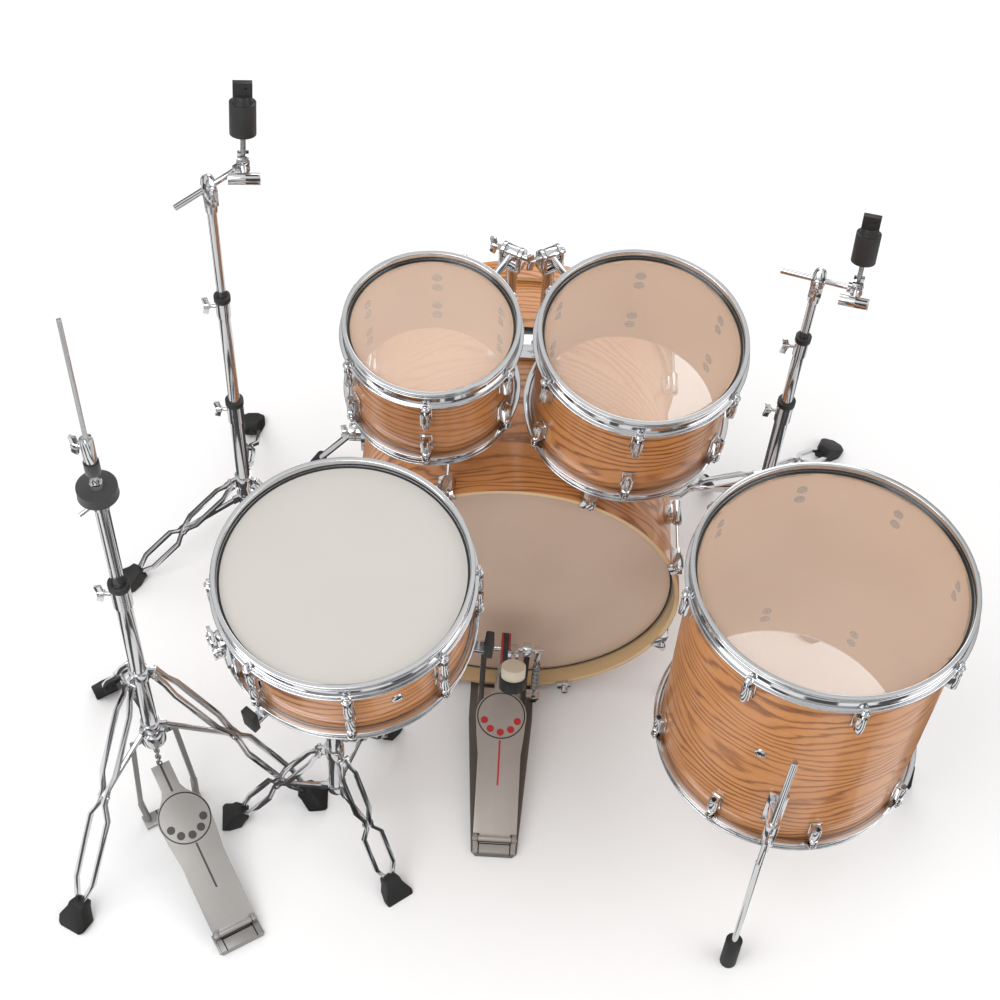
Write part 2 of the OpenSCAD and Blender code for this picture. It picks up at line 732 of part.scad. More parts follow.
module basket_grips() {
    color(black) in_snare() for (a = basket_angles)
        rotate([0, 0, a]) difference() {
            translate([basket_r - 3, -12, snare_low - 13]) cube([12, 24, 44]);
            translate([basket_r - 8, -8 - gap, snare_low - 8 - 2 * gap]) cube([12 + gap, 16 + 2 * gap, 35]);
        }
}

snare_collar_z = 380;
module snare_tube() {
    top = snare_pivot[2];
    color(chrome) {
        translate([snare_pole[0], snare_pole[1], snare_collar_z - 130])
            cylinder(r = upper_tube_r, h = top - 22 - snare_collar_z + 130);
        translate([snare_pole[0], snare_pole[1], top - 60]) cylinder(r = 13, h = 36);
        difference() {
            union() {
                translate([snare_pole[0] - 14, snare_pole[1] - 15, top - 30]) cube([28, 30, 9]);
                for (s = [-1, 1])
                    translate([snare_pivot[0] - 14, snare_pivot[1] + s * 12 - 3, top - 30]) cube([28, 6, 30]);
                for (s = [-1, 1])
                    translate([snare_pivot[0], snare_pivot[1] + s * 12 + 3, top]) rotate([90, 0, 0])
                        cylinder(r = 14, h = 6);
            }
            translate([snare_pivot[0], snare_pivot[1] + 30, top]) rotate([90, 0, 0])
                cylinder(r = 4 + fit, h = 60);
        }
    }
}

// ---------- tripods ----------

// Outer edge of one bowed strip: pinched at both ends and where the strut joins
function bow_line(len, waist) = [
    [0, strip_w + 3.2], [len * 0.06, strip_w + 3.2], [len * 0.12, leg_bow - 4],
    [len * (waist - 0.1), leg_bow - 4], [len * (waist - 0.03), strip_w + 1.2],
    [len * (waist + 0.03), strip_w + 1.2], [len * (waist + 0.09), leg_bow],
    [len * 0.84, leg_bow], [len * 0.92, strip_w + 3], [len * 0.93, strip_w + 3]
];

module bowed_strip(line) {
    back = [for (k = [len(line) - 1 : -1 : 0]) line[k] - [0, strip_w]];
    translate([0, 0, -strip_h / 2]) linear_extrude(strip_h) polygon(concat(line, back));
}

// One leg in the XZ plane, from its collar to the foot, with the strut that braces it
module tripod_leg(collar_z, strut_z, foot_r, waist) {
    top = [lower_tube_r + 12, collar_z];
    foot = [foot_r, 14];
    run = foot - top;
    mid = top + run * waist;
    translate([top[0], 0, top[1]]) rotate([0, -atan2(run[1], run[0]), 0]) {
        for (s = [0, 1])
            mirror([0, s, 0]) bowed_strip(bow_line(norm(run), waist));
        translate([norm(run) * waist, strip_w + 3, 0]) rotate([90, 0, 0])
            cylinder(r = 3.2, h = 2 * strip_w + 6);
        translate([0, strip_w + 5, 0]) rotate([90, 0, 0]) cylinder(r = 3.2, h = 2 * strip_w + 10);
    }
    flat_bar([lower_tube_r + 8, strut_z], mid, 5.6, 10);
}

module collar_block(h) {
    for (k = [0 : 2])
        rotate([0, 0, 120 * k]) translate([lower_tube_r - 2, -3, -h / 2]) cube([16, 6, h]);
    translate([0, 0, -h / 2]) tube(lower_tube_r + 3.5, lower_tube_r - 0.8, h);
}

module tripod(pole, from, collar_z, strut_z, foot_r, waist, tube_low, tube_top, bore) {
    color(chrome) translate([pole[0], pole[1], 0]) rotate([0, 0, from]) {
        translate([0, 0, tube_low]) tube(lower_tube_r, lower_tube_r - tube_wall, tube_top - tube_low);
        translate([0, 0, collar_z]) collar_block(24);
        translate([0, 0, strut_z]) collar_block(18);
        for (k = [0 : 2])
            rotate([0, 0, 120 * k]) tripod_leg(collar_z, strut_z, foot_r, waist);
        translate([0, 0, tube_top - 44]) tube(lower_tube_r + 2.5, lower_tube_r - 0.8, 44);
        translate([0, 0, tube_top]) tube(lower_tube_r + 4, bore + fit, 11);
    }
}

// A wing bolt that clamps a collar, on the pole's side at the given heading
module collar_bolt(pole, z, out, heading) {
    color(chrome) translate([pole[0], pole[1], z]) rotate([0, 0, heading])
        translate([out, 0, 0]) wing_bolt(14);
}

// Wedge-shaped rubber feet, cut flat where they stand on the floor
module tripod_rubbers(pole, from, collar_z, foot_r) {
    top = [lower_tube_r + 12, collar_z];
    run = [foot_r, 14] - top;
    start = norm(run) * 0.93 + gap;
    translate([pole[0], pole[1], 0]) rotate([0, 0, from])
        for (k = [0 : 2])
            rotate([0, 0, 120 * k]) difference() {
                translate([top[0], 0, top[1]]) rotate([0, -atan2(run[1], run[0]), 0])
                    translate([start, 0, -14]) linear_extrude(28) polygon([
                        [0, -13], [12, -15], [36, -26], [50, -24], [76, -4],
                        [76, 4], [50, 24], [36, 26], [12, 15], [0, 13]
                    ]);
                translate([foot_r, 0, -60]) cube([300, 200, 120], center = true);
            }
}

snare_tripod_set = [snare_pole, 187.5, 219, 100, 176, 0.5];
hihat_tripod_set = [hihat_pole, 4, 418, 262, 258, 0.47];
left_tripod_set = [left_pole, 216, 150, 100, 248, 0.5];
right_tripod_set = [right_pole, 171, 150, 100, 248, 0.5];

module stand_feet() {
    color(black) for (s = [snare_tripod_set, hihat_tripod_set, left_tripod_set, right_tripod_set])
        tripod_rubbers(s[0], s[1], s[2], s[4]);
}

module snare_tripod() {
    s = snare_tripod_set;
    tripod(s[0], s[1], s[2], s[3], s[4], s[5], 84, snare_collar_z, upper_tube_r);
    collar_bolt(s[0], snare_collar_z - 16, lower_tube_r, 250);
}

// ---------- hi-hat stand ----------

module in_hihat() { translate([hihat_pole[0], hihat_pole[1], 0]) rotate([0, 0, hihat_heading]) children(); }

hihat_toe_z = 125;
hihat_hinge = 283;
module hihat_tripod() {
    s = hihat_tripod_set;
    tripod(s[0], s[1], s[2], s[3], s[4], s[5], hihat_tail_z, hihat_collar_z, hihat_tube_r - 0.9);
    collar_bolt(s[0], hihat_collar_z - 20, lower_tube_r, 180);
    color(chrome) translate([hihat_pole[0], hihat_pole[1], hihat_tail_z - 8]) tube(lower_tube_r + 8, 8, 30);
}

// Frame on the floor: two radius bars beside the casting, a cross plate and the heel plate
module hihat_base() {
    arm_top = hihat_tail_z + 4;
    color(steel) in_hihat() {
        for (s = [-1, 1]) {
            rod([2, s * (lower_tube_r + 8.6), arm_top], [2, s * 40, arm_top], 5, $fn = 4);
            rod([2, s * 37, arm_top + 3], [12, s * 50, 44], 5.6, $fn = 4);
            rod([11, s * 49.5, 52], [24, s * 45, 3], 6.2, $fn = 4);
        }
        translate([12, -54, 0]) cube([26, 108, 6]);
        translate([36, -12, 0]) cube([hihat_hinge - 24, 24, 4]);
        translate([hihat_hinge + 7, 1 - board_w / 2, 0]) cube([22, board_w - 2, 14]);
        translate([hihat_hinge - 10, -board_w / 2 - 2, 0]) cube([36, board_w + 4, 5]);
        translate([hihat_hinge, 0, hinge_z]) rotate([0, 0, 90]) hinge_cheeks();
    }
}

module hihat_footboard() {
    color(steel) in_hihat() translate([hihat_hinge, 0, hinge_z]) rotate([0, 0, 180])
        board(hihat_hinge, hihat_toe_z - hinge_z, 16.5, 201);
}

// Sliding tube with the bottom cymbal's seat: cup, felt and hub
module hihat_tube() {
    color(chrome) translate([hihat_pole[0], hihat_pole[1], 0]) {
        translate([0, 0, hihat_collar_z - 190])
            tube(hihat_tube_r - 0.9, 5, hihat_seat_z - 30 - hihat_collar_z + 190);
        translate([0, 0, hihat_seat_z - 34]) tube(hihat_tube_r + 1, 5, 22);
        difference() {
            translate([0, 0, hihat_seat_z - 13]) cylinder(r1 = 20, r2 = 29, h = 7);
            translate([0, 0, hihat_seat_z - 20]) cylinder(r = 5, h = 30);
        }
        rod([-hihat_tube_r * 0.7, -hihat_tube_r * 0.7, hihat_seat_z - 22],
            [-24, -24, hihat_seat_z - 26], 3);
        translate([0, 0, hihat_seat_z + 12]) tube(9, 5, 8);
    }
    color(black) translate([hihat_pole[0], hihat_pole[1], hihat_seat_z - 6]) tube(28.5, 5, 18);
}

// Pull rod with the chain that joins it to the footboard; its free end is a little thinner
clutch_z = hihat_seat_z + 42;
clutch_top = clutch_z + 22 + gap + 46;
hihat_rod_r = 3.3;
module hihat_rod() {
    color(chrome) translate([hihat_pole[0], hihat_pole[1], 0]) {
        translate([0, 0, hihat_tail_z - 20])
            cylinder(r = hihat_rod_r + 0.2, h = clutch_top - hihat_tail_z + 20);
        translate([0, 0, clutch_top]) cylinder(r = hihat_rod_r, h = hihat_rod_z - clutch_top);
    }
    color(steel) translate([hihat_pole[0], hihat_pole[1], hihat_toe_z + 5])
        cylinder(r = 5.5, h = hihat_tail_z - 18 - hihat_toe_z - 5);
}

module hihat_clutch() {
    color(black) translate([hihat_pole[0], hihat_pole[1], clutch_z]) tube(11, hihat_rod_r + 0.2 + fit, 22);
    color(chrome) translate([hihat_pole[0], hihat_pole[1], clutch_z + 22 + gap]) {
        tube(9.5, hihat_rod_r + 0.2 + fit, 46);
        difference() {
            rotate([0, 0, 160]) translate([6, 0, 24]) wing_bolt(10, 15);
            cylinder(r = 4, h = 60);
        }
    }
}

// ---------- cymbal stands ----------

middle_r = (lower_tube_r + upper_tube_r) / 2;
stand_collar_z = 369;
left_upper_collar_z = 634;
right_upper_collar_z = 540;

module cymbal_tripod(s, upper_collar) {
    pole = s[0];
    tripod(pole, s[1], s[2], s[3], s[4], s[5], 83, stand_collar_z, middle_r - fit);
    collar_bolt(pole, stand_collar_z - 18, lower_tube_r, 180);
    color(chrome) translate([pole[0], pole[1], stand_collar_z - 60])
        tube(middle_r, middle_r - tube_wall, upper_collar - stand_collar_z + 60);
    color(chrome) translate([pole[0], pole[1], upper_collar - 36]) tube(middle_r + 2, middle_r - 0.6, 36);
    color(black) translate([pole[0], pole[1], upper_collar]) tube(middle_r + 4, upper_tube_r + fit, 11);
    collar_bolt(pole, upper_collar - 16, middle_r, 180);
}
module left_tripod() { cymbal_tripod(left_tripod_set, left_upper_collar_z); }
module right_tripod() { cymbal_tripod(right_tripod_set, right_upper_collar_z); }

// Upper tube with the fork that holds the boom clamp's pin
module boom_tube(pole, z, upper_collar, heading) {
    low = upper_collar - 120;
    color(chrome) translate([pole[0], pole[1], 0]) rotate([0, 0, heading]) {
        translate([0, 0, low]) cylinder(r = upper_tube_r, h = z - 24 - low);
        translate([0, 0, z - 50]) cylinder(r = upper_tube_r + 2.5, h = 26);
        difference() {
            union() {
                translate([-11, -19, z - 26]) cube([22, 38, 6]);
                for (s = [-1, 1])
                    translate([-11, s * 16 - 3, z - 26]) cube([22, 6, 26]);
                for (s = [-1, 1])
                    translate([0, s * 16 + 3, z]) rotate([90, 0, 0]) cylinder(r = 11, h = 6);
            }
            translate([0, 30, z]) rotate([90, 0, 0]) cylinder(r = 4 + fit, h = 60);
        }
    }
}

// Boom rod through its clamp barrel, with the eye for the cymbal tilter at its end
module boom(pole, z, heading, rise, roll) {
    color(chrome) translate([pole[0], pole[1], z]) rotate([0, 0, heading]) {
        translate([0, 12.4, 0]) rotate([90, 0, 0]) cylinder(r = 12, h = 24.8);
        translate([0, 24, 0]) rotate([90, 0, 0]) cylinder(r = 4, h = 48);
        translate([0, -24, 0]) rotate([0, 0, -90]) wing_bolt(2, 15);
        rotate([0, -rise, 0]) rotate([roll, 0, 0]) difference() {
            union() {
                translate([-boom_len, 0, 0]) rotate([0, 90, 0]) cylinder(r = boom_r, h = 2 * boom_len - 10);
                translate([boom_len - 16, -5.4, -7]) cube([16, 10.8, 14]);
                translate([boom_len, 5.4, 0]) rotate([90, 0, 0]) cylinder(r = 10, h = 10.8);
            }
            translate([boom_len, 20, 0]) rotate([90, 0, 0]) cylinder(r = 4 + fit, h = 40);
        }
    }
}

// Tilter: a fork on its pin with its barrel-shaped handle, the cymbal rod, sleeve and wing nut
sleeve_from = 55;
sleeve_h = 53;
nut_z = sleeve_from + sleeve_h;
module in_tilter(pole, z, heading, rise, roll, lean) {
    translate([pole[0], pole[1], z]) rotate([0, 0, heading]) rotate([0, -rise, 0]) rotate([roll, 0, 0])
        translate([boom_len, 0, 0]) rotate([0, rise + lean, 0]) children();
}
module tilter(pole, z, heading, rise, roll, lean) {
    color(chrome) in_tilter(pole, z, heading, rise, roll, lean) {
        for (s = [-1, 1])
            translate([0, s * 9 + 3, 0]) rotate([90, 0, 0]) cylinder(r = 10.5, h = 6);
        for (s = [-1, 1])
            translate([-9, s * 9 - 3, 0]) cube([18, 6, 18]);
        translate([-9, -12, 12]) cube([18, 24, 8]);
        translate([0, 14, 0]) rotate([90, 0, 0]) cylinder(r = 4, h = 28);
        translate([0, -11, 0]) rotate([90, 0, 0]) cylinder(r = 5.5, h = 30);
        translate([-25, -44, 0]) rotate([0, 90, 0]) cylinder(r = 9.5, h = 50);
        translate([0, 0, 16]) cylinder(r = 4.2, h = nut_z);
    }
    color(black) in_tilter(pole, z, heading, rise, roll, lean) {
        translate([0, 0, sleeve_from]) tube(21, 4.2, sleeve_h);
        translate([0, 0, nut_z]) cylinder(r1 = 17, r2 = 14, h = 12);
        difference() {
            translate([-15, -6, nut_z + 10]) cube([30, 12, 23]);
            translate([5, 20, nut_z + 25]) rotate([90, 0, 0]) cylinder(r = 2.6, h = 40);
        }
    }
}

left_heading = 18;
left_rise = 30;
right_heading = -15;
right_rise = 0;
left_roll = -15;
left_lean = 5;
right_roll = -13;
right_lean = -3;

module left_tube() { boom_tube(left_pole, left_boom_z, left_upper_collar_z, left_heading); }
module left_boom() { boom(left_pole, left_boom_z, left_heading, left_rise, left_roll); }
module left_tilter() { tilter(left_pole, left_boom_z, left_heading, left_rise, left_roll, left_lean); }
module right_tube() { boom_tube(right_pole, right_boom_z, right_upper_collar_z, right_heading); }
module right_boom() { boom(right_pole, right_boom_z, right_heading, right_rise, right_roll); }
module right_tilter() { tilter(right_pole, right_boom_z, right_heading, right_rise, right_roll, right_lean); }

// ---------- the kit ----------

bass_shell();
bass_hoops();
bass_heads();
bass_lugs();
bass_claws();
tom_bracket();
spur_brackets();
left_spur();
right_spur();
pedal_base();
pedal_frame();
pedal_footboard();
pedal_beater();
beater_head();
small_tom_shell();
small_tom_hoops();
small_tom_heads();
small_tom_lugs();
small_tom_post();
small_tom_arm();
large_tom_shell();
large_tom_hoops();
large_tom_heads();
large_tom_lugs();
large_tom_post();
large_tom_arm();
floor_tom_shell();
floor_tom_hoops();
floor_tom_heads();
floor_tom_lugs();
floor_leg_brackets();
floor_leg_front();
floor_leg_right();
floor_leg_back();
snare_shell();
snare_hoops();
snare_heads();
snare_lugs();
snare_strainer();
strainer_lever();
snare_wires();
snare_basket();
basket_grips();
snare_tube();
snare_tripod();
hihat_tripod();
hihat_base();
hihat_footboard();
hihat_tube();
hihat_rod();
hihat_clutch();
left_tripod();
left_tube();
left_boom();
left_tilter();
right_tripod();
right_tube();
right_boom();
right_tilter();
stand_feet();
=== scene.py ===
"""Looks of an acoustic drum kit: veneered shells, clear and coated heads, chrome and rubber."""

import math

import bmesh
import bpy
from bpy.props import FloatProperty, FloatVectorProperty, IntProperty, PointerProperty
from mathutils import Euler, Matrix, Vector


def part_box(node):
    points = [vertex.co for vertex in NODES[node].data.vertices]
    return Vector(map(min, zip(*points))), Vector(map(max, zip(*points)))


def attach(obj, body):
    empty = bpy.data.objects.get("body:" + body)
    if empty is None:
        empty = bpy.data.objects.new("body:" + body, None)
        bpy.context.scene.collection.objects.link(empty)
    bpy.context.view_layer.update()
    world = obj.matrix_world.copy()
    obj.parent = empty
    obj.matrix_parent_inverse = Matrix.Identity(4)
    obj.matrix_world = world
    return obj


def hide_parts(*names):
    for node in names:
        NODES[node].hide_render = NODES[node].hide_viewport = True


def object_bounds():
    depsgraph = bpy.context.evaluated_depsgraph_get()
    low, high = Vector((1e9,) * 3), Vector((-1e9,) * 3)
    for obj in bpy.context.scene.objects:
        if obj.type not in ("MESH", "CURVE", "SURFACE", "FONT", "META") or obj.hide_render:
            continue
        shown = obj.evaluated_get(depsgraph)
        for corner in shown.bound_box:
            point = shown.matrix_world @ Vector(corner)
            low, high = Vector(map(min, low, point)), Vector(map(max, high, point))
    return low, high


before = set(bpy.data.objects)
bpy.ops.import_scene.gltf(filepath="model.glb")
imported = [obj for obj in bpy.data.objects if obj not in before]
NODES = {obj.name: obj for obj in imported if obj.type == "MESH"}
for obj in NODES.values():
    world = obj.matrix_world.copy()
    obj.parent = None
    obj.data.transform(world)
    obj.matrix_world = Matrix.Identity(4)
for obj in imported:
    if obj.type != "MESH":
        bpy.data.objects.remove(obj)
CAD_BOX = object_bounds()

bl_info = {
    "name": "Acoustic drum kit",
    "version": (1, 0, 0),
    "blender": (4, 5, 0),
    "location": "View3D > Sidebar > Drum kit",
    "description": "Builds the visible pieces and finishes of an acoustic drum kit on its frame",
    "category": "Object",
}

FILM = 0.001
COLLAR_OUT = 0.004
SHELL_WALL = 0.007
ROD_OUT = 0.013
HOOP_SHEET = 0.0023
HOOP_DROP = 0.015
RIM_RISE = 0.014


# ---------- shader expressions ----------


class Wire:
    """One output socket that can stand in a Python expression."""

    def __init__(self, finish, socket):
        self.finish = finish
        self.socket = socket

    def maths(self, operation, *others):
        return self.finish.node("ShaderNodeMath", {"operation": operation}, dict(enumerate((self, *others))))

    def __add__(self, other):
        return self.maths("ADD", other)

    def __sub__(self, other):
        return self.maths("SUBTRACT", other)

    def __mul__(self, other):
        return self.maths("MULTIPLY", other)

    def __truediv__(self, other):
        return self.maths("DIVIDE", other)

    def __rsub__(self, other):
        return self.finish.node("ShaderNodeMath", {"operation": "SUBTRACT"}, {0: other, 1: self})

    def __gt__(self, other):
        return self.maths("GREATER_THAN", other)

    def __lt__(self, other):
        return self.maths("LESS_THAN", other)

    __radd__ = __add__
    __rmul__ = __mul__


class Nodes:
    """A shader tree built from short calls."""

    def __init__(self, tree):
        self.tree = tree

    def node(self, kind, settings=None, sockets=None, out=0):
        made = self.tree.nodes.new(kind)
        for key, value in (settings or {}).items():
            if key == "stops":
                self.set_stops(made.color_ramp, value)
            else:
                setattr(made, key, value)
        for key, value in (sockets or {}).items():
            if isinstance(value, Wire):
                self.tree.links.new(value.socket, made.inputs[key])
            else:
                made.inputs[key].default_value = value
        return Wire(self, made.outputs[out])

    def set_stops(self, ramp, stops):
        while len(ramp.elements) < len(stops):
            ramp.elements.new(0.5)
        for element, (place, colour) in zip(ramp.elements, stops):
            element.position = place
            element.color = colour if len(colour) == 4 else (*colour, 1.0)

    def ramp(self, value, stops, interpolation="LINEAR"):
        made = self.node("ShaderNodeValToRGB", {"stops": stops}, {"Fac": value})
        made.socket.node.color_ramp.interpolation = interpolation
        return made

    def blend(self, amount, first, second):
        sockets = {"Factor": amount, 6: self.colour(first), 7: self.colour(second)}
        return self.node("ShaderNodeMix", {"data_type": "RGBA"}, sockets, 2)

    def colour(self, value):
        if isinstance(value, Wire) or len(value) == 4:
            return value
        return (*value, 1.0)

    def stretch(self, vector, scale):
        return self.node("ShaderNodeVectorMath", {"operation": "MULTIPLY"}, {0: vector, 1: scale})

    def split(self, vector):
        outputs = self.node("ShaderNodeSeparateXYZ", None, {0: vector}).socket.node.outputs
        return [Wire(self, outputs[k]) for k in range(3)]


class Finish(Nodes):
    """A material with one Principled shader."""

    def __init__(self, name):
        self.material = bpy.data.materials.new(name)
        self.material.use_nodes = True
        super().__init__(self.material.node_tree)
        self.shader = next(n for n in self.tree.nodes if n.type == "BSDF_PRINCIPLED")

    def place(self, origin=(0, 0, 0), turn=(0, 0, 0)):
        """Object coordinates measured from a piece's own origin and turn."""
        position = self.node("ShaderNodeTexCoord", out="Object")
        return self.node(
            "ShaderNodeMapping",
            {"vector_type": "TEXTURE"},
            {"Vector": position, "Location": tuple(origin), "Rotation": tuple(turn)},
        )

    def noise(self, vector, scale, detail=3.0, roughness=0.5, distortion=0.0):
        sockets = {
            "Vector": vector,
            "Scale": scale,
            "Detail": detail,
            "Roughness": roughness,
            "Distortion": distortion,
        }
        return self.node("ShaderNodeTexNoise", None, sockets)

    def reach(self, spot):
        """Distance from the axis of a turned piece."""
        flat = self.stretch(spot, (1, 1, 0))
        return self.node("ShaderNodeVectorMath", {"operation": "LENGTH"}, {0: flat}, out="Value")

    def bump(self, height, strength, distance):
        sockets = {"Height": height, "Strength": strength, "Distance": distance}
        return self.node("ShaderNodeBump", None, sockets)

    def surface(self, **sockets):
        for key, value in sockets.items():
            name = key.replace("_", " ").title()
            name = {"Ior": "IOR"}.get(name, name)
            if isinstance(value, Wire):
                self.tree.links.new(value.socket, self.shader.inputs[name])
            else:
                self.shader.inputs[name].default_value = value
        return self.material


# ---------- drums, as measured on the frame ----------


class Drum:
    """A drum's own axes: its origin is the middle of the top head, with +Z out of the drum."""

    def __init__(self, name, body, tilt, turn, lugs, first, batter="clear"):
        self.name = name
        self.body = body
        self.lugs = lugs
        self.first = math.radians(first)
        self.batter = batter
        self.turn = Euler((math.radians(tilt), math.radians(turn), 0.0))
        spin = self.turn.to_matrix().to_4x4()
        back = spin.inverted()
        points = [back @ v.co for v in NODES[name + "_heads"].data.vertices]
        low = Vector(min(p[k] for p in points) for k in range(3))
        high = Vector(max(p[k] for p in points) for k in range(3))
        self.radius = (high.x - low.x) / 2 - COLLAR_OUT
        self.depth = high.z - low.z - 2 * FILM
        self.matrix = spin @ Matrix.Translation(((low.x + high.x) / 2, (low.y + high.y) / 2, high.z))
        self.origin = self.matrix.translation
        self.inside = self.radius - SHELL_WALL

    def other_end(self):
        """The same axes at the far head, turned over."""
        far = Matrix.Translation((0, 0, -self.depth - 2 * FILM))
        return self.matrix @ far @ Matrix.Rotation(math.pi, 4, "X")


BASS = Drum("bass", "kit", 90, 0, 8, 112.5)
SMALL_TOM = Drum("small_tom", "small_tom", 7.5, -0.5, 6, -90)
LARGE_TOM = Drum("large_tom", "large_tom", 8.5, 2, 6, -90)
FLOOR_TOM = Drum("floor_tom", "kit", 0, 0, 8, -82)
SNARE = Drum("snare", "snare_drum", 6.6, -1.8, 8, -84, "coated")
DRUMS = (BASS, SMALL_TOM, LARGE_TOM, FLOOR_TOM, SNARE)


# ---------- the other pieces' own axes ----------


def seat(at, *turns):
    """A place in metres followed by turns in degrees, each as (axis, angle)."""
    matrix = Matrix.Translation(at)
    for axis, angle in turns:
        matrix = matrix @ Matrix.Rotation(math.radians(angle), 4, axis)
    return matrix


AXLE = Vector((0.0, -0.034, 0.185))
SPRING_X = 0.058
BASS_BOARD = seat((0, -0.320, 0.018), ("Z", 90), ("Y", -math.degrees(math.atan2(0.078, 0.318))))
SNARE_POLE = (-0.277, -0.276)
HIHAT_POLE = (-0.579, -0.272)
LEFT_POLE = (-0.517, 0.340)
RIGHT_POLE = (0.492, 0.420)
HIHAT = seat((*HIHAT_POLE, 0), ("Z", -57.2))
HIHAT_BOARD = HIHAT @ seat((0.283, 0, 0.018), ("Z", 180), ("Y", -math.degrees(math.atan2(0.107, 0.283))))
BEATER = seat(AXLE + Vector((0.013, 0, 0)), ("X", 52)) @ seat((0, 0, 0.145), ("X", -75.8))
CLAMP_OUT = (0.066, 0, 0)
LEFT_TIP = seat((*LEFT_POLE, 0.887), ("Z", 18), ("Y", -30), ("X", -15)) @ seat(CLAMP_OUT, ("Y", 35))
RIGHT_TIP = seat((*RIGHT_POLE, 0.690), ("Z", -15), ("Y", 0), ("X", -13)) @ seat(CLAMP_OUT, ("Y", -3))


# ---------- meshes ----------


def mesh_object(name, mesh, body, slot_name, *materials):
    """Links a finished mesh, gives it its materials and lets it ride on its body."""
    for material in materials:
        mesh.materials.append(material)
    made = bpy.data.objects.new(name, mesh)
    bpy.context.scene.collection.objects.link(made)
    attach(made, body)
    return made


def smooth(mesh, angle=35):
    for polygon in mesh.polygons:
        polygon.use_smooth = True
    mesh.set_sharp_from_angle(angle=math.radians(angle))


def to_mesh(name, shape, matrix=None, angle=35):
    """Turns a bmesh into a mesh with its place applied and its faces outwards."""
    bmesh.ops.remove_doubles(shape, verts=shape.verts, dist=1e-6)
    bmesh.ops.recalc_face_normals(shape, faces=shape.faces)
    if matrix is not None:
        shape.transform(matrix)
        if matrix.determinant() < 0:
            bmesh.ops.reverse_faces(shape, faces=shape.faces)
    mesh = bpy.data.meshes.new(name)
    shape.to_mesh(mesh)
    shape.free()
    smooth(mesh, angle)
    return mesh


def rounded(points, radius, steps=3):
    """Rounds every corner of a closed outline."""
    result = []
    count = len(points)
    for k in range(count):
        before, here, after = (Vector(points[(k + s) % count]) for s in (-1, 0, 1))
        reach = min(radius, (before - here).length * 0.45, (after - here).length * 0.45)
        start = here + (before - here).normalized() * reach
        end = here + (after - here).normalized() * reach
        for step in range(steps + 1):
            t = step / steps
            result.append(start * (1 - t) ** 2 + here * 2 * t * (1 - t) + end * t**2)
    return result


def lathe(shape, outline, segments=160, axis_matrix=None, closed=True):
    """Adds a ring to a bmesh: an outline of (radius, height) points turned about Z."""
    move = axis_matrix or Matrix.Identity(4)
    rings = []
    for k in range(segments):
        a = 2 * math.pi * k / segments
        rings.append(
            [shape.verts.new(move @ Vector((r * math.cos(a), r * math.sin(a), z))) for r, z in outline]
        )
    count = len(outline)
    for k in range(segments):
        here, there = rings[k], rings[(k + 1) % segments]
        for j in range(count if closed else count - 1):
            n = (j + 1) % count
            shape.faces.new((here[j], there[j], there[n], here[n]))
    return shape


def solid_lathe(shape, outline, segments=32, matrix=None):
    """A turned solid whose outline starts and ends on the axis (radius 0)."""
    inner = [p for p in outline if p[0] > 0]
    move = matrix or Matrix.Identity(4)
    lathe(shape, inner, segments, move, closed=False)
    shape.verts.ensure_lookup_table()
    base = len(shape.verts) - segments * len(inner)
    for end, order in ((0, 1), (len(inner) - 1, -1)):
        ring = [shape.verts[base + k * len(inner) + end] for k in range(segments)]
        shape.faces.new(ring[::order])
    return shape


def block(shape, size, centre, bevel=0.0, matrix=None, segments=2):
    """Adds a box with rounded edges."""
    made = bmesh.ops.create_cube(shape, size=1.0)["verts"]
    bmesh.ops.scale(shape, vec=size, verts=made)
    if bevel:
        edges = list({e for v in made for e in v.link_edges})
        made = bmesh.ops.bevel(
            shape, geom=edges, offset=bevel, segments=segments, affect="EDGES", profile=0.6
        )["verts"]
    bmesh.ops.translate(shape, vec=centre, verts=made)
    if matrix is not None:
        bmesh.ops.transform(shape, matrix=matrix, verts=made)
    return made


def pole(shape, low, high, radius, segments=20, chamfer=0.0006):
    """Adds a round bar between two points, with softened ends."""
    low, high = Vector(low), Vector(high)
    along = high - low
    length = along.length
    spin = Vector((0, 0, 1)).rotation_difference(along).to_matrix().to_4x4()
    edge = min(chamfer, radius * 0.4, length * 0.3)
    outline = [
        (radius - edge, 0.0), (radius, edge), (radius, length - edge), (radius - edge, length),
    ]
    solid_lathe(shape, outline, segments, Matrix.Translation(low) @ spin)


def cad_copy(node, bevel=0.0007, angle=32):
    """A merged copy of a CAD node with softened edges, as one mesh."""
    shape = bmesh.new()
    shape.from_mesh(NODES[node].data)
    bmesh.ops.remove_doubles(shape, verts=shape.verts, dist=2e-6)
    bmesh.ops.dissolve_limit(
        shape, angle_limit=math.radians(0.6), verts=shape.verts, edges=shape.edges, delimit={"NORMAL"}
    )
    mesh = bpy.data.meshes.new(node + "_fine")
    shape.to_mesh(mesh)
    shape.free()
    carrier = bpy.data.objects.new("carrier", mesh)
    bpy.context.scene.collection.objects.link(carrier)
    soft = carrier.modifiers.new("edges", "BEVEL")
    soft.width = bevel
    soft.segments = 2
    soft.limit_method = "ANGLE"
    soft.angle_limit = math.radians(angle)
    soft.use_clamp_overlap = True
    soft.harden_normals = False
    fine = bake(carrier)
    fine.materials.clear()
    smooth(fine, angle)
    return fine


def cut(mesh, test):
    """Takes away the corners of a mesh that pass a test on their place."""
    shape = bmesh.new()
    shape.from_mesh(mesh)
    bmesh.ops.delete(shape, geom=[v for v in shape.verts if test(v.co)], context="VERTS")
    shape.to_mesh(mesh)
    shape.free()
    return mesh


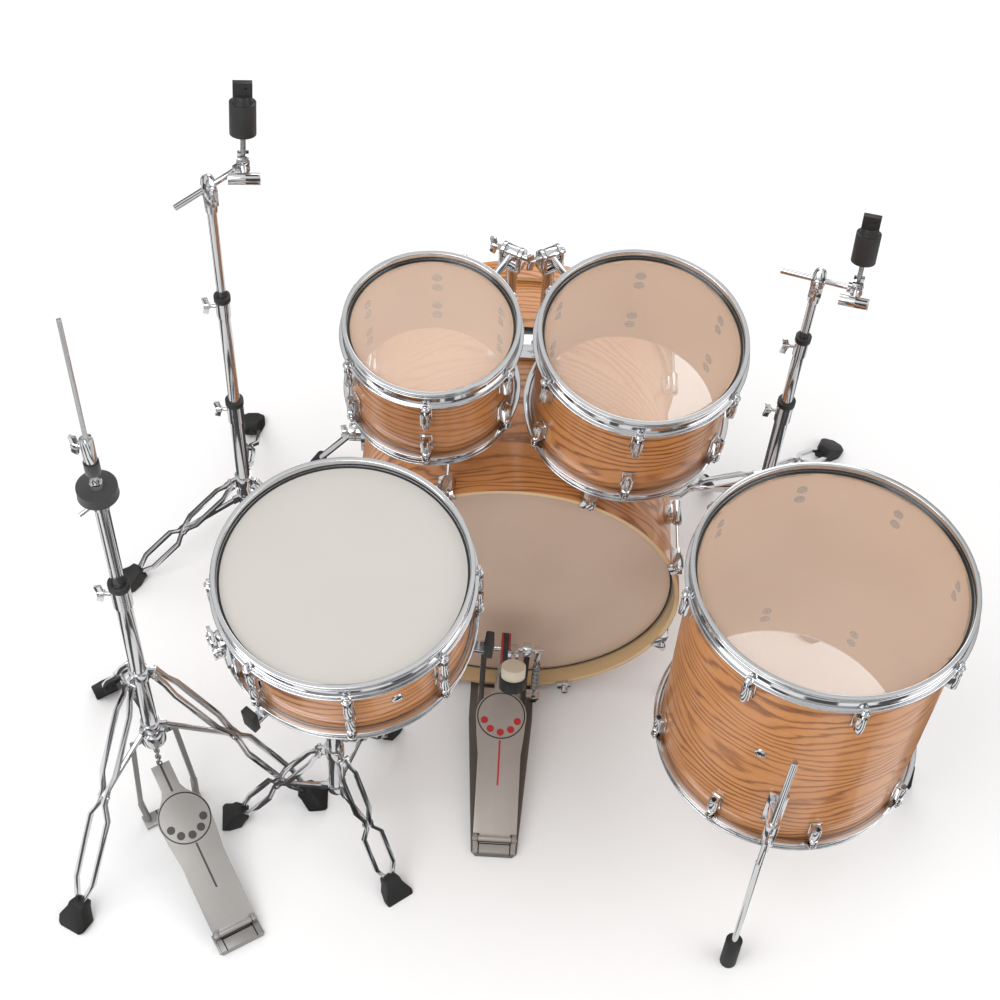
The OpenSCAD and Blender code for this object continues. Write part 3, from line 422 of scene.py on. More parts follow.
def bake(carrier):
    """The evaluated mesh of a carrier object, which is then removed."""
    graph = bpy.context.evaluated_depsgraph_get()
    mesh = bpy.data.meshes.new_from_object(carrier.evaluated_get(graph))
    old = carrier.data
    bpy.data.objects.remove(carrier)
    if isinstance(old, bpy.types.Mesh):
        bpy.data.meshes.remove(old)
    return mesh


# ---------- geometry nodes ----------


class Tree:
    """A geometry node tree built from short calls, with named inputs."""

    def __init__(self, name):
        self.tree = bpy.data.node_groups.new(name, "GeometryNodeTree")
        self.tree.interface.new_socket("Geometry", in_out="OUTPUT", socket_type="NodeSocketGeometry")
        self.inputs = {}
        self.source = self.tree.nodes.new("NodeGroupInput")

    def input(self, name, kind, value=None):
        made = self.tree.interface.new_socket(name, in_out="INPUT", socket_type="NodeSocket" + kind)
        if value is not None:
            made.default_value = value
        self.inputs[name] = made.identifier
        return self.source.outputs[name]

    def node(self, kind, settings=None, sockets=None, out=0):
        made = self.tree.nodes.new(kind)
        for key, value in (settings or {}).items():
            setattr(made, key, value)
        for key, value in (sockets or {}).items():
            if isinstance(value, bpy.types.NodeSocket):
                self.tree.links.new(value, made.inputs[key])
            else:
                made.inputs[key].default_value = value
        return made.outputs[out]

    def finish(self, geometry, material):
        real = self.node("GeometryNodeRealizeInstances", None, {0: geometry})
        done = self.node("GeometryNodeSetMaterial", None, {"Geometry": real, "Material": material})
        output = self.tree.nodes.new("NodeGroupOutput")
        self.tree.links.new(done, output.inputs[0])

    def run(self, values):
        """Runs the tree on an empty carrier and gives the plain mesh it makes."""
        carrier = bpy.data.objects.new("carrier", bpy.data.meshes.new("carrier"))
        bpy.context.scene.collection.objects.link(carrier)
        modifier = carrier.modifiers.new("build", "NODES")
        modifier.node_group = self.tree
        for name, value in values.items():
            modifier[self.inputs[name]] = value
        return bake(carrier)


def ring_tree():
    """Copies of one piece around a circle, each turned to face outwards."""
    t = Tree("ring_of_pieces")
    piece = t.input("Piece", "Object")
    count = t.input("Count", "Int", 8)
    radius = t.input("Radius", "Float", 0.1)
    first = t.input("First angle", "Float", 0.0)
    material = t.input("Material", "Material")
    points = t.node("GeometryNodePoints", None, {"Count": count})
    index = t.node("GeometryNodeInputIndex")
    step = t.node("ShaderNodeMath", {"operation": "DIVIDE"}, {0: 2 * math.pi, 1: count})
    angle = t.node("ShaderNodeMath", {"operation": "MULTIPLY_ADD"}, {0: index, 1: step, 2: first})
    turn = t.node("ShaderNodeCombineXYZ", None, {"Z": angle})
    arm = t.node("ShaderNodeCombineXYZ", None, {"X": radius})
    spot = t.node("ShaderNodeVectorRotate", {"rotation_type": "EULER_XYZ"}, {"Vector": arm, "Rotation": turn})
    placed = t.node("GeometryNodeSetPosition", None, {"Geometry": points, "Position": spot})
    copy = t.node("GeometryNodeObjectInfo", None, {"Object": piece}, out="Geometry")
    sockets = {"Points": placed, "Instance": copy, "Rotation": turn}
    copies = t.node("GeometryNodeInstanceOnPoints", None, sockets)
    t.finish(copies, material)
    return t


def path_tree():
    """Copies of one piece along a path, with every second one turned a quarter, as a chain's links are."""
    t = Tree("links_on_path")
    piece = t.input("Piece", "Object")
    path = t.input("Path", "Object")
    spacing = t.input("Spacing", "Float", 0.01)
    twist = t.input("Twist", "Float", 0.0)
    material = t.input("Material", "Material")
    line = t.node("GeometryNodeObjectInfo", None, {"Object": path}, out="Geometry")
    points = t.node("GeometryNodeCurveToPoints", {"mode": "LENGTH"}, {"Curve": line, "Length": spacing})
    turned = points.node.outputs["Rotation"]
    index = t.node("GeometryNodeInputIndex")
    spin = t.node("ShaderNodeMath", {"operation": "MULTIPLY"}, {0: index, 1: twist})
    extra = t.node("ShaderNodeCombineXYZ", None, {"Z": spin})
    both = t.node("FunctionNodeRotateRotation", {"rotation_space": "LOCAL"}, {0: turned, 1: extra})
    copy = t.node("GeometryNodeObjectInfo", None, {"Object": piece}, out="Geometry")
    sockets = {"Points": points, "Instance": copy, "Rotation": both}
    copies = t.node("GeometryNodeInstanceOnPoints", None, sockets)
    t.finish(copies, material)
    return t


def coil_tree():
    """A round wire wound as a helix."""
    t = Tree("wound_wire")
    turns = t.input("Turns", "Float", 10.0)
    height = t.input("Height", "Float", 0.05)
    radius = t.input("Radius", "Float", 0.007)
    wire = t.input("Wire radius", "Float", 0.001)
    steps = t.input("Steps", "Int", 16)
    material = t.input("Material", "Material")
    sockets = {
        "Resolution": steps, "Rotations": turns, "Height": height,
        "Start Radius": radius, "End Radius": radius,
    }
    line = t.node("GeometryNodeCurveSpiral", None, sockets)
    ring = t.node("GeometryNodeCurvePrimitiveCircle", None, {"Resolution": 8, "Radius": wire})
    wound = t.node("GeometryNodeCurveToMesh", None, {"Curve": line, "Profile Curve": ring, "Fill Caps": True})
    soft = t.node("GeometryNodeSetShadeSmooth", None, {"Geometry": wound})
    t.finish(soft, material)
    return t


def helper_object(name, shape):
    """A pattern piece for a tree; it is removed after use."""
    mesh = bpy.data.meshes.new(name)
    bmesh.ops.recalc_face_normals(shape, faces=shape.faces)
    shape.to_mesh(mesh)
    shape.free()
    smooth(mesh)
    made = bpy.data.objects.new(name, mesh)
    bpy.context.scene.collection.objects.link(made)
    return made


def path_object(name, points):
    """A poly path for a tree; it is removed after use."""
    curve = bpy.data.curves.new(name, "CURVE")
    curve.dimensions = "3D"
    spline = curve.splines.new("POLY")
    spline.points.add(len(points) - 1)
    for k, point in enumerate(points):
        spline.points[k].co = (*point, 1.0)
    made = bpy.data.objects.new(name, curve)
    bpy.context.scene.collection.objects.link(made)
    return made


def remove(*objects):
    for made in objects:
        data = made.data
        bpy.data.objects.remove(made)
        if isinstance(data, bpy.types.Curve):
            bpy.data.curves.remove(data)
        else:
            bpy.data.meshes.remove(data)


def join(name, parts):
    """One mesh from several (mesh, matrix) pairs."""
    shape = bmesh.new()
    for mesh, matrix in parts:
        copy = mesh.copy()
        copy.transform(matrix)
        shape.from_mesh(copy)
        bpy.data.meshes.remove(copy)
    result = bpy.data.meshes.new(name)
    shape.to_mesh(result)
    shape.free()
    smooth(result)
    return result


# ---------- finishes ----------

FINISHES = {}


def finish_of(name, make, *words):
    """Makes a finish once and gives the same material afterwards."""
    if name not in FINISHES:
        FINISHES[name] = make(name, *words)
    return FINISHES[name]


def veneer(name, drum):
    """Oiled orange veneer outside, plain maple inside, with the grain running round the shell."""
    f = Finish(name)
    spot = f.place(drum.origin, drum.turn)
    z = f.split(spot)[2]
    radius = f.reach(spot)
    seed = 7.3 * DRUMS.index(drum)
    away = (seed, seed * 0.7, 0.31 * seed)
    shift = f.node("ShaderNodeVectorMath", {"operation": "ADD"}, {0: spot, 1: away})
    sway = f.noise(f.stretch(shift, (2.0, 2.0, 6.0)), 1.0, 2.0, 0.45)
    warp = f.noise(f.stretch(shift, (14.0, 14.0, 60.0)), 1.0, 3.0, 0.5)
    rings = z * 56.0 + sway * 17.0 + warp * 1.1
    wave = (rings * (2 * math.pi)).maths("SINE") * 0.5 + 0.5
    fibre = f.noise(f.stretch(shift, (40.0, 40.0, 1700.0)), 1.0, 3.0, 0.6)
    patch = f.noise(f.stretch(shift, (4.0, 4.0, 14.0)), 1.0, 2.0)
    pores = f.noise(f.stretch(shift, (110.0, 110.0, 2600.0)), 1.0, 1.0)
    line = [(0.0, (1, 1, 1)), (0.12, (0.6, 0.6, 0.6)), (0.36, (0.16, 0.16, 0.16)), (1.0, (0, 0, 0))]
    dark = f.ramp(wave, line) * (0.05 + patch * 1.05) + (fibre - 0.42) * 0.95
    settings = bpy.context.scene.kit_colours
    stops = [(0.0, settings.veneer_light), (0.32, settings.veneer_mid), (0.85, settings.veneer_dark)]
    base = f.ramp(dark.maths("MAXIMUM", 0.0), stops)
    speck = (pores > 0.66) * 0.22
    outside = f.blend(speck, base, (0.20, 0.075, 0.025))
    plain = f.blend(fibre, (0.63, 0.40, 0.235), (0.52, 0.32, 0.18))
    inside = f.blend(patch * 0.6, plain, (0.47, 0.285, 0.155))
    is_out = radius > drum.radius - 0.0015
    tint = f.blend(is_out, inside, outside)
    bump = f.bump(dark + fibre * 0.4, 0.12, 0.0004)
    return f.surface(
        base_color=tint,
        roughness=0.30 + fibre * 0.14 + (1.0 - is_out) * 0.2,
        normal=bump,
        coat_weight=is_out * 0.3,
        coat_roughness=0.12,
    )


def hoop_wood(name, drum):
    """The wooden hoop: veneer round its outside, pale maple on its edges and inside."""
    f = Finish(name)
    spot = f.place(drum.origin, drum.turn)
    radius = f.reach(spot)
    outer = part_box("bass_hoops")[1].x
    sway = f.noise(f.stretch(spot, (4.0, 4.0, 22.0)), 1.0, 2.0)
    z = f.split(spot)[2]
    wave = ((z * 60.0 + sway * 8.0) * (2 * math.pi)).maths("SINE") * 0.5 + 0.5
    fibre = f.noise(f.stretch(spot, (50.0, 50.0, 900.0)), 1.0, 3.0, 0.6)
    line = [(0.0, (1, 1, 1)), (0.3, (0.25, 0.25, 0.25)), (1.0, (0, 0, 0))]
    dark = f.ramp(wave, line) * 0.7 + (fibre - 0.5) * 0.4
    tones = [(0.0, (0.56, 0.235, 0.075)), (0.5, (0.34, 0.125, 0.035)), (1.0, (0.13, 0.04, 0.012))]
    outside = f.ramp(dark.maths("MAXIMUM", 0.0), tones)
    ply = ((radius * 5200.0).maths("SINE") > 0.55) * 0.14
    pale = f.blend(fibre * 0.5 + ply, (0.73, 0.52, 0.29), (0.58, 0.37, 0.18))
    is_out = radius > outer - 0.0012
    return f.surface(
        base_color=f.blend(is_out, pale, outside),
        roughness=0.28 + fibre * 0.1,
        normal=f.bump(fibre, 0.1, 0.0003),
        coat_weight=0.4,
        coat_roughness=0.08,
    )


def clear_film(name, drum):
    """Clear film with a dark opaque ring near its edge and a warm pale veil, painted light standing in for
    the lit inside of the shell; the shell's inside shows through it.
    """
    f = Finish(name)
    spot = f.place(drum.origin, drum.turn)
    radius = f.reach(spot)
    haze = f.noise(f.stretch(spot, (5.0, 5.0, 5.0)), 1.0, 2.0)
    rim = radius > drum.radius - 0.0035
    collar = radius > drum.radius + 0.0005
    # The warm pale tint is painted light of the shell's inside; the ring near the edge is dark and opaque.
    tint = f.blend(rim, (0.90, 0.71, 0.58), (0.02, 0.018, 0.016))
    metal = f.blend(collar, tint, (0.55, 0.55, 0.56))
    # Painted light: how much of the warm tint covers the film, strongest on the bass; the haze adds a little
    # real cloudiness.
    painted_inside_light = {"small_tom": 0.24, "large_tom": 0.17, "bass": 0.42}.get(drum.name, 0.16)
    cover = (painted_inside_light + haze * 0.08).maths("MAXIMUM", rim)
    return f.surface(
        base_color=metal,
        metallic=collar,
        roughness=0.16 + haze * 0.08,
        alpha=cover,
        normal=f.bump(haze, 0.05, 0.0008),
        ior=1.55,
    )


def coated_film(name, drum):
    """Sprayed white coating with a fine tooth and a cloudy tone, and a dark ring near its edge."""
    f = Finish(name)
    spot = f.place(drum.origin, drum.turn)
    radius = f.reach(spot)
    tooth = f.noise(spot, 2400.0, 2.0, 0.6)
    cloud = f.noise(spot, 7.0, 3.0)
    tint = f.blend(cloud, (0.50, 0.475, 0.445), (0.465, 0.44, 0.41))
    rim = radius > drum.radius - 0.0030
    collar = radius > drum.radius + 0.0005
    coat = f.blend(rim, f.blend(tooth * 0.25, tint, (0.42, 0.40, 0.37)), (0.02, 0.02, 0.02))
    return f.surface(
        base_color=f.blend(collar, coat, (0.55, 0.55, 0.56)),
        metallic=collar,
        roughness=0.62 + cloud * 0.12 - collar * 0.4,
        normal=f.bump(tooth, 0.25, 0.0002),
    )


def chrome(name, tone=0.74, rough=0.06):
    """Bright plating with faint polishing marks and a faint, uneven grey cloud."""
    f = Finish(name)
    spot = f.place()
    cloud = f.noise(spot, 24.0, 3.0)
    scratch = f.noise(f.stretch(spot, (900.0, 900.0, 90.0)), 1.0, 2.0)
    tint = f.blend(cloud, (tone, tone * 1.005, tone * 1.02), (tone * 0.88, tone * 0.89, tone * 0.91))
    return f.surface(
        base_color=tint,
        metallic=1.0,
        roughness=rough + cloud * 0.05 + scratch * 0.02,
        normal=f.bump(scratch, 0.02, 0.0001),
    )


def rubber(name, tone=0.010, rough=0.55, grain=900.0):
    """Black rubber with a moulded grain and a dusty bloom."""
    f = Finish(name)
    spot = f.place()
    fine = f.noise(spot, grain, 3.0, 0.6)
    dust = f.noise(spot, 35.0, 4.0, 0.6)
    tint = f.blend(dust, (tone, tone, tone), (tone * 2.1, tone * 2.05, tone * 2.0))
    return f.surface(base_color=tint, roughness=rough + dust * 0.15, normal=f.bump(fine, 0.35, 0.0003))


def felt(name, dark, light):
    """Pressed felt: matted fibres and a soft edge sheen."""
    f = Finish(name)
    spot = f.place()
    fibre = f.noise(spot, 1300.0, 4.0, 0.7, 1.5)
    lump = f.noise(spot, 150.0, 3.0)
    tint = f.blend(fibre * 0.7 + lump * 0.3, dark, light)
    f.surface(sheen_weight=0.4, sheen_roughness=0.5)
    return f.surface(base_color=tint, roughness=0.92, normal=f.bump(fibre + lump, 0.7, 0.0008))


def cast_plate(name, tone, rough):
    """Blasted grey casting, faintly brushed along its length and lighter in uneven patches."""
    f = Finish(name)
    spot = f.place()
    brushed = f.noise(f.stretch(spot, (700.0, 12.0, 30.0)), 1.0, 3.0)
    pit = f.noise(spot, 1100.0, 2.0)
    worn = f.noise(spot, 18.0, 4.0, 0.6)
    light = tuple(v * 1.12 for v in tone)
    tint = f.blend(brushed * 0.5 + worn * 0.4, tone, light)
    return f.surface(
        base_color=tint,
        metallic=0.55,
        roughness=rough + worn * 0.14,
        normal=f.bump(pit + brushed, 0.12, 0.0002),
    )


def enamel(name, tone):
    """Glossy filled enamel with a slight orange-peel."""
    f = Finish(name)
    spot = f.place()
    peel = f.noise(spot, 420.0, 2.0)
    tint = f.blend(peel, tone, tuple(v * 0.8 for v in tone))
    uneven = f.bump(peel, 0.08, 0.0002)
    return f.surface(base_color=tint, roughness=0.3 + peel * 0.1, normal=uneven, coat_weight=0.3)


def footboard(name, matrix, disc_at, tone, mark_tone, ring, mark, neck):
    """Blasted board with a ring and five round grips set in its disc, a centre line and a neck strip."""
    f = Finish(name)
    u, v, w = f.split(f.place(matrix.translation, matrix.to_euler()))
    along = u - disc_at
    radius = (along * along + v * v).maths("SQRT")
    angle = v.maths("ARCTAN2", along * -1.0)
    step = math.radians(36)
    turn = angle - (angle / step).maths("ROUND").maths("MAXIMUM", -2.0).maths("MINIMUM", 2.0) * step
    ahead = radius * turn.maths("COSINE") - mark[0]
    aside = radius * turn.maths("SINE")
    top = w > 0.0
    grip = ((ahead * ahead + aside * aside).maths("SQRT") < mark[1]) * top
    ridge = ((radius - ring).maths("ABSOLUTE") < 0.0011) * top
    middle = disc_at - 0.046 - 0.041
    line = (v.maths("ABSOLUTE") < 0.0017) * ((u - middle).maths("ABSOLUTE") < 0.041) * top
    strip = (v.maths("ABSOLUTE") < neck) * (u > disc_at + 0.050) * top
    spot = f.place()
    brushed = f.noise(f.stretch(spot, (420.0, 420.0, 420.0)), 1.0, 3.0, 0.6)
    worn = f.noise(spot, 16.0, 4.0, 0.6)
    metal = f.blend(brushed * 0.5 + worn * 0.5, tone, tuple(v * 0.74 for v in tone))
    marked = (grip + line + strip).maths("MINIMUM", 1.0)
    tint = f.blend(ridge, f.blend(marked, metal, mark_tone), (0.015, 0.015, 0.015))
    return f.surface(
        base_color=tint,
        metallic=(1.0 - (marked + ridge).maths("MINIMUM", 1.0)) * 0.3,
        roughness=0.34 + worn * 0.16 + marked * 0.1,
        normal=f.bump(marked * 1.2 - ridge + brushed * 0.12, 0.6, 0.0012),
    )


def heel_plate(name, matrix, tone):
    """Cast plate with a dark stepped outline around its middle knuckle, painted shade of the gap between the
    knuckle and the plate.
    """
    f = Finish(name)
    u, v = f.split(f.place(matrix.translation, matrix.to_euler()))[:2]
    side = v.maths("ABSOLUTE")
    # Painted shade: near-black lines along both sides of the knuckle and across its front stand in for the
    # gap around it.
    edge = ((side - 0.0275).maths("ABSOLUTE") < 0.0010) * (u > -0.030)
    shelf = ((u + 0.0090).maths("ABSOLUTE") < 0.0010) * (side < 0.0275)
    spot = f.place()
    pit = f.noise(spot, 900.0, 3.0, 0.6)
    worn = f.noise(spot, 22.0, 4.0, 0.6)
    metal = f.blend(worn, tone, tuple(v * 0.78 for v in tone))
    dark = (edge + shelf).maths("MINIMUM", 1.0)
    return f.surface(
        base_color=f.blend(dark, metal, (0.012, 0.012, 0.012)),
        metallic=0.7,
        roughness=0.36 + worn * 0.18,
        normal=f.bump(pit * 0.5 - dark, 0.3, 0.0006),
    )


def threaded(name, matrix):
    """Bright rod with a fine thread cut along its length; the thread's grooves are painted dark, painted
    shade in the grooves.
    """
    f = Finish(name)
    spot = f.place(matrix.translation, matrix.to_euler())
    u, v, w = f.split(spot)
    turn = v.maths("ARCTAN2", u) / (2 * math.pi)
    thread = ((w * 900.0 + turn) * (2 * math.pi)).maths("SINE")
    cloud = f.noise(spot, 60.0, 3.0)
    return f.surface(
        # Painted shade: the thread's grooves are darkened to 0.16 against the bright crests.
        base_color=f.blend(thread * 0.5 + 0.5, (0.16, 0.16, 0.16), (0.62, 0.62, 0.63)),
        metallic=1.0,
        roughness=0.22 + cloud * 0.12,
        normal=f.bump(thread, 0.7, 0.0004),
    )


def grip_chrome(name, matrix):
    """Barrel handle: one half plain bright plating, the other fluted with dark grooves."""
    f = Finish(name)
    spot = f.place((matrix @ seat((0, -0.044, 0))).translation, matrix.to_euler())
    u, v, w = f.split(spot)
    flute = (v.maths("ARCTAN2", w) * 9.0).maths("SINE") > 0.15
    dark = flute * (u > 0.002) * (u < 0.022)
    cloud = f.noise(spot, 40.0, 3.0)
    return f.surface(
        base_color=f.blend(dark, (0.74, 0.74, 0.75), (0.012, 0.012, 0.012)),
        metallic=1.0 - dark,
        roughness=0.08 + cloud * 0.06 + dark * 0.4,
        normal=f.bump(dark * -1.0, 0.6, 0.0006),
    )


def cam_finish(name):
    """Black moulded cam with red lines along both edges of its rim."""
    f = Finish(name)
    spot = f.place(AXLE)
    x, _, z = f.split(spot)
    line = ((x.maths("ABSOLUTE") - 0.0062).maths("ABSOLUTE") < 0.0012) * (z > -0.02)
    grain = f.noise(spot, 800.0, 3.0)
    black_part = f.blend(grain, (0.014, 0.014, 0.014), (0.03, 0.03, 0.03))
    return f.surface(
        base_color=f.blend(line, black_part, (0.55, 0.02, 0.02)),
        roughness=0.42 + grain * 0.16,
        normal=f.bump(grain, 0.3, 0.0003),
    )


def studio_floor(name):
    f = Finish(name)
    spot = f.place()
    cloud = f.noise(spot, 1.6, 3.0)
    tint = f.blend(cloud, (0.88, 0.88, 0.88), (0.865, 0.865, 0.87))
    x, y = f.split(spot)[:2]
    # Painted reflection: glossy rays see near-black bands on the floor, standing in for darker surroundings
    # in the chrome; the camera sees the plain pale floor.
    band = (y.maths("ARCTAN2", x) * 11.0 + cloud * 5.0).maths("SINE") > 0.25
    mirrored = f.node("ShaderNodeLightPath", out="Is Glossy Ray")
    painted_reflection_bands = f.blend(band, (0.80, 0.80, 0.80), (0.045, 0.045, 0.047))
    return f.surface(base_color=f.blend(mirrored, tint, painted_reflection_bands), roughness=0.6 + cloud * 0.1)


def chromed():
    return finish_of("chrome", chrome)


# ---------- drums ----------


def hoop_outline(radius):
    """Section of a triple-flanged hoop: bottom ledge, inner step and turned-out rim."""
    inner = radius + COLLAR_OUT + 0.0004
    outline = [
        (inner, -HOOP_DROP), (inner + 0.009, -HOOP_DROP), (inner + 0.009, HOOP_SHEET - HOOP_DROP),
        (inner + HOOP_SHEET, HOOP_SHEET - HOOP_DROP), (inner + HOOP_SHEET, 0.0027),
        (radius + 0.001 + HOOP_SHEET, 0.0027), (radius + 0.001 + HOOP_SHEET, RIM_RISE - HOOP_SHEET),
        (inner + 0.004, RIM_RISE - HOOP_SHEET), (inner + 0.004, RIM_RISE), (radius + 0.001, RIM_RISE),
        (radius + 0.001, 0.0004), (inner, 0.0004),
    ]
    return rounded(outline, 0.0016)


def build_hoops(drum):
    shape = bmesh.new()
    for matrix in (drum.matrix, drum.other_end()):
        lathe(shape, hoop_outline(drum.radius), 176, matrix)
    mesh = to_mesh(drum.name + "_rims", shape, angle=50)
    rims = mesh_object(drum.name + "_rims", mesh, drum.body, "chrome", chromed())
    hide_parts(drum.name + "_hoops")


def lug_pattern(long_lug):
    """A lug with its rod, washer, square head and hoop ear; x = 0 on the rod's axis and +X outwards."""
    shape = bmesh.new()
    top = HOOP_SHEET - HOOP_DROP
    ear = rounded([(0.0033, -HOOP_DROP), (0.0075, -HOOP_DROP), (0.0075, top), (0.0033, top)], 0.0006, 2)
    lathe(shape, ear, 20)
    pole(shape, (0, 0, -0.058), (0, 0, -HOOP_DROP + 0.002), 0.0028, 12)
    pole(shape, (0, 0, top), (0, 0, top + 0.0016), 0.0068, 20)
    pole(shape, (0, 0, top + 0.0016), (0, 0, top + 0.005), 0.0048, 16)
    block(shape, (0.006, 0.006, 0.006), (0, 0, top + 0.008), 0.0008)
    barrel = [
        (0.0035, -0.033), (0.0052, -0.034), (0.0062, -0.038),
        (0.0070, -0.047), (0.0066, -0.062), (0.0040, -0.066),
    ]
    solid_lathe(shape, barrel, 20)
    solid_lathe(shape, [(0.0056, -0.0250), (0.0064, -0.026), (0.0064, -0.033), (0.0045, -0.034)], 18)
    if not long_lug:
        block(shape, (0.0148, 0.0165, 0.035), (-0.0052, 0, -0.046), 0.0045, None, 3)
        block(shape, (0.0030, 0.0190, 0.039), (-0.0115, 0, -0.046), 0.0013)
        for z in (-0.0365, -0.0555):
            pole(shape, (-0.006, 0, z), (0.0033, 0, z), 0.0042, 16)
    return helper_object("lug_pattern", shape)


def ring_around(matrix, pattern, count, radius, first, material):
    mesh = RINGS.run({
        "Piece": pattern, "Count": count, "Radius": radius, "First angle": first, "Material": material,
    })
    mesh.transform(matrix)
    return mesh


def bridge_pattern(drum):
    """The bar of a snare lug that joins its two ends."""
    shape = bmesh.new()
    length = drum.depth + 2 * FILM
    block(shape, (0.009, 0.011, length - 0.088), (-0.0055, 0, -length / 2), 0.0030, None, 3)
    for s in (0.046, length - 0.046):
        block(shape, (0.012, 0.0145, 0.026), (-0.0065, 0, -s), 0.0040, None, 3)
    block(shape, (0.0022, 0.0165, length - 0.066), (-0.0122, 0, -length / 2), 0.0009)
    return helper_object("bridge_pattern", shape)


def build_lugs(drum):
    pattern = lug_pattern(drum is SNARE)
    radius = drum.radius + ROD_OUT
    tops = ring_around(drum.matrix, pattern, drum.lugs, radius, drum.first, chromed())
    lows = ring_around(drum.other_end(), pattern, drum.lugs, radius, -drum.first, chromed())
    parts = [(tops, Matrix.Identity(4)), (lows, Matrix.Identity(4))]
    remove(pattern)
    if drum is SNARE:
        bridge = bridge_pattern(drum)
        bars = ring_around(drum.matrix, bridge, drum.lugs, radius, drum.first, chromed())
        parts.append((bars, Matrix.Identity(4)))
        remove(bridge)
    name = drum.name + "_lug_set"
    lugs = mesh_object(name, join(name, parts), drum.body, "chrome", chromed())
    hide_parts(drum.name + "_lugs")


def build_washers(drum, rows):
    """Pairs of screw heads on washers inside the shell, behind every lug."""
    shape = bmesh.new()
    lay = Matrix.Translation((-0.0002, 0, 0)) @ Matrix.Rotation(-math.pi / 2, 4, "Y")
    solid_lathe(shape, [(0.0085, 0.0), (0.0085, 0.0008), (0.0078, 0.0012), (0.0050, 0.0014)], 24, lay)
    solid_lathe(shape, [(0.0042, 0.0012), (0.0042, 0.0030), (0.0030, 0.0042), (0.0012, 0.0046)], 18, lay)
    pattern = helper_object("washer_pattern", shape)
    parts = []
    steel = finish_of("washer_steel", chrome, 0.14, 0.38)
    for height in rows:
        matrix = drum.matrix @ Matrix.Translation((0, 0, height))
        ring = ring_around(matrix, pattern, drum.lugs, drum.inside, drum.first, steel)
        parts.append((ring, Matrix.Identity(4)))
    remove(pattern)
    name = drum.name + "_washers"
    mesh_object(name, join(name, parts), drum.body, "chrome", steel)


def build_film_finish(drum):
    if drum is SNARE:
        material = finish_of("coated_film", coated_film, drum)
    else:
        material = finish_of(drum.name + "_film", clear_film, drum)
    dress(drum.name + "_heads", material)


def dress(node, material):
    """Gives a CAD node a finish of its own."""
    data = NODES[node].data
    data.materials.clear()
    data.materials.append(material)
    smooth(data, 30)


def build_vent(drum, angle, height):
    """Chromed air vent set in the shell; its bore is closed by a black plug, painted shade standing in for
    the dark open hole.
    """
    shape = bmesh.new()
    out = Matrix.Rotation(math.radians(angle), 4, "Z") @ Matrix.Translation((drum.radius - 0.0006, 0, height))
    lay = drum.matrix @ out @ Matrix.Rotation(math.pi / 2, 4, "Y")
    ring = rounded([(0.0046, 0.0), (0.0098, 0.0), (0.0085, 0.0026), (0.0052, 0.0030)], 0.0008)
    lathe(shape, ring, 36, lay)
    solid_lathe(shape, [(0.0047, -0.004), (0.0047, 0.0010)], 24, lay)
    mesh = to_mesh(drum.name + "_vent", shape)
    vent = mesh_object(drum.name + "_vent", mesh, drum.body, "chrome", chromed(), finish_of("rubber", rubber))
    # Painted shade: the plug's end in the bore gets the black rubber finish, standing in for the shade inside
    # the open hole.
    middle = lay @ Vector((0, 0, 0.0010))
    for polygon in vent.data.polygons:
        if (polygon.center - middle).length < 0.0046:
            polygon.material_index = 1


# ---------- the rest of the fittings ----------

CHROME_NODES = {
    "kit": [
        "bass_lugs", "bass_claws", "tom_bracket", "spur_brackets", "floor_leg_brackets",
    ],
    "small_post": ["small_tom_post"],
    "small_tom": ["small_tom_arm"],
    "large_post": ["large_tom_post"],
    "large_tom": ["large_tom_arm"],
    "snare_pole": ["snare_tube"],
    "basket": ["snare_basket"],
    "snare_drum": ["snare_strainer"],
    "lever": ["strainer_lever"],
    "left_pole": ["left_tube"],
    "left_arm": ["left_boom"],
    "right_pole": ["right_tube"],
    "right_arm": ["right_boom"],
}


def softened(node, body, slot_name, *materials, bevel=0.0007, away=None):
    """A CAD node's shape with softened edges, standing for the node."""
    mesh = cad_copy(node, bevel)
    if away:
        mesh = cut(mesh, away)
    made = mesh_object(node + "_fine", mesh, body, slot_name, *materials)
    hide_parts(node)
    return made


def paint(made, index, test):
    """Gives the faces that pass a test on their middle point another of the piece's materials."""
    for polygon in made.data.polygons:
        if test(polygon.center):
            polygon.material_index = index


TRIPOD_COLLARS = {
    "snare_tripod": (*SNARE_POLE, 0.380),
    "hihat_tripod": (*HIHAT_POLE, 0.652),
    "left_tripod": (*LEFT_POLE, 0.369, 0.634),
    "right_tripod": (*RIGHT_POLE, 0.369, 0.540),
}
BUSH_REACH = 0.022
BUSH_TOP = 0.0116
FLOOR_LEG_RUBBER_TOP = 0.0640
SPUR_RUBBER_TOP = 0.0500
WIRE_SPACING = 0.0036
WIRE_LENGTH = 0.300
STRAINER_ANGLE = -151.5


def black():
    return finish_of("rubber", rubber)


def nylon():
    return finish_of("nylon", rubber, 0.012, 0.32, 500.0)


def build_tripods():
    """Chromed tripods with black bushes on their collars."""
    for node, (x, y, *collars) in TRIPOD_COLLARS.items():
        made = softened(node, "kit", "chrome", chromed(), nylon())
        for polygon in made.data.polygons:
            p = polygon.center
            on_collar = any(0.0002 < p.z - z < BUSH_TOP for z in collars)
            if on_collar and math.hypot(p.x - x, p.y - y) < BUSH_REACH:
                polygon.material_index = 1


def build_feet():
    """Rubber feet, legs with rubber tips, spurs and basket grips."""
    softened("stand_feet", "kit", "rubber", black(), bevel=0.0022)
    softened("basket_grips", "basket", "rubber", black(), bevel=0.0028)
    for side in ("front", "right", "back"):
        leg = softened("floor_leg_" + side, "leg_" + side, "chrome", chromed(), black(), bevel=0.0012)
        paint(leg, 1, lambda p: p.z < FLOOR_LEG_RUBBER_TOP)
    for side in ("left", "right"):
        spur = softened(side + "_spur", "spur_" + side, "chrome", chromed(), black(), bevel=0.0012)
        paint(spur, 1, lambda p: p.z < SPUR_RUBBER_TOP)


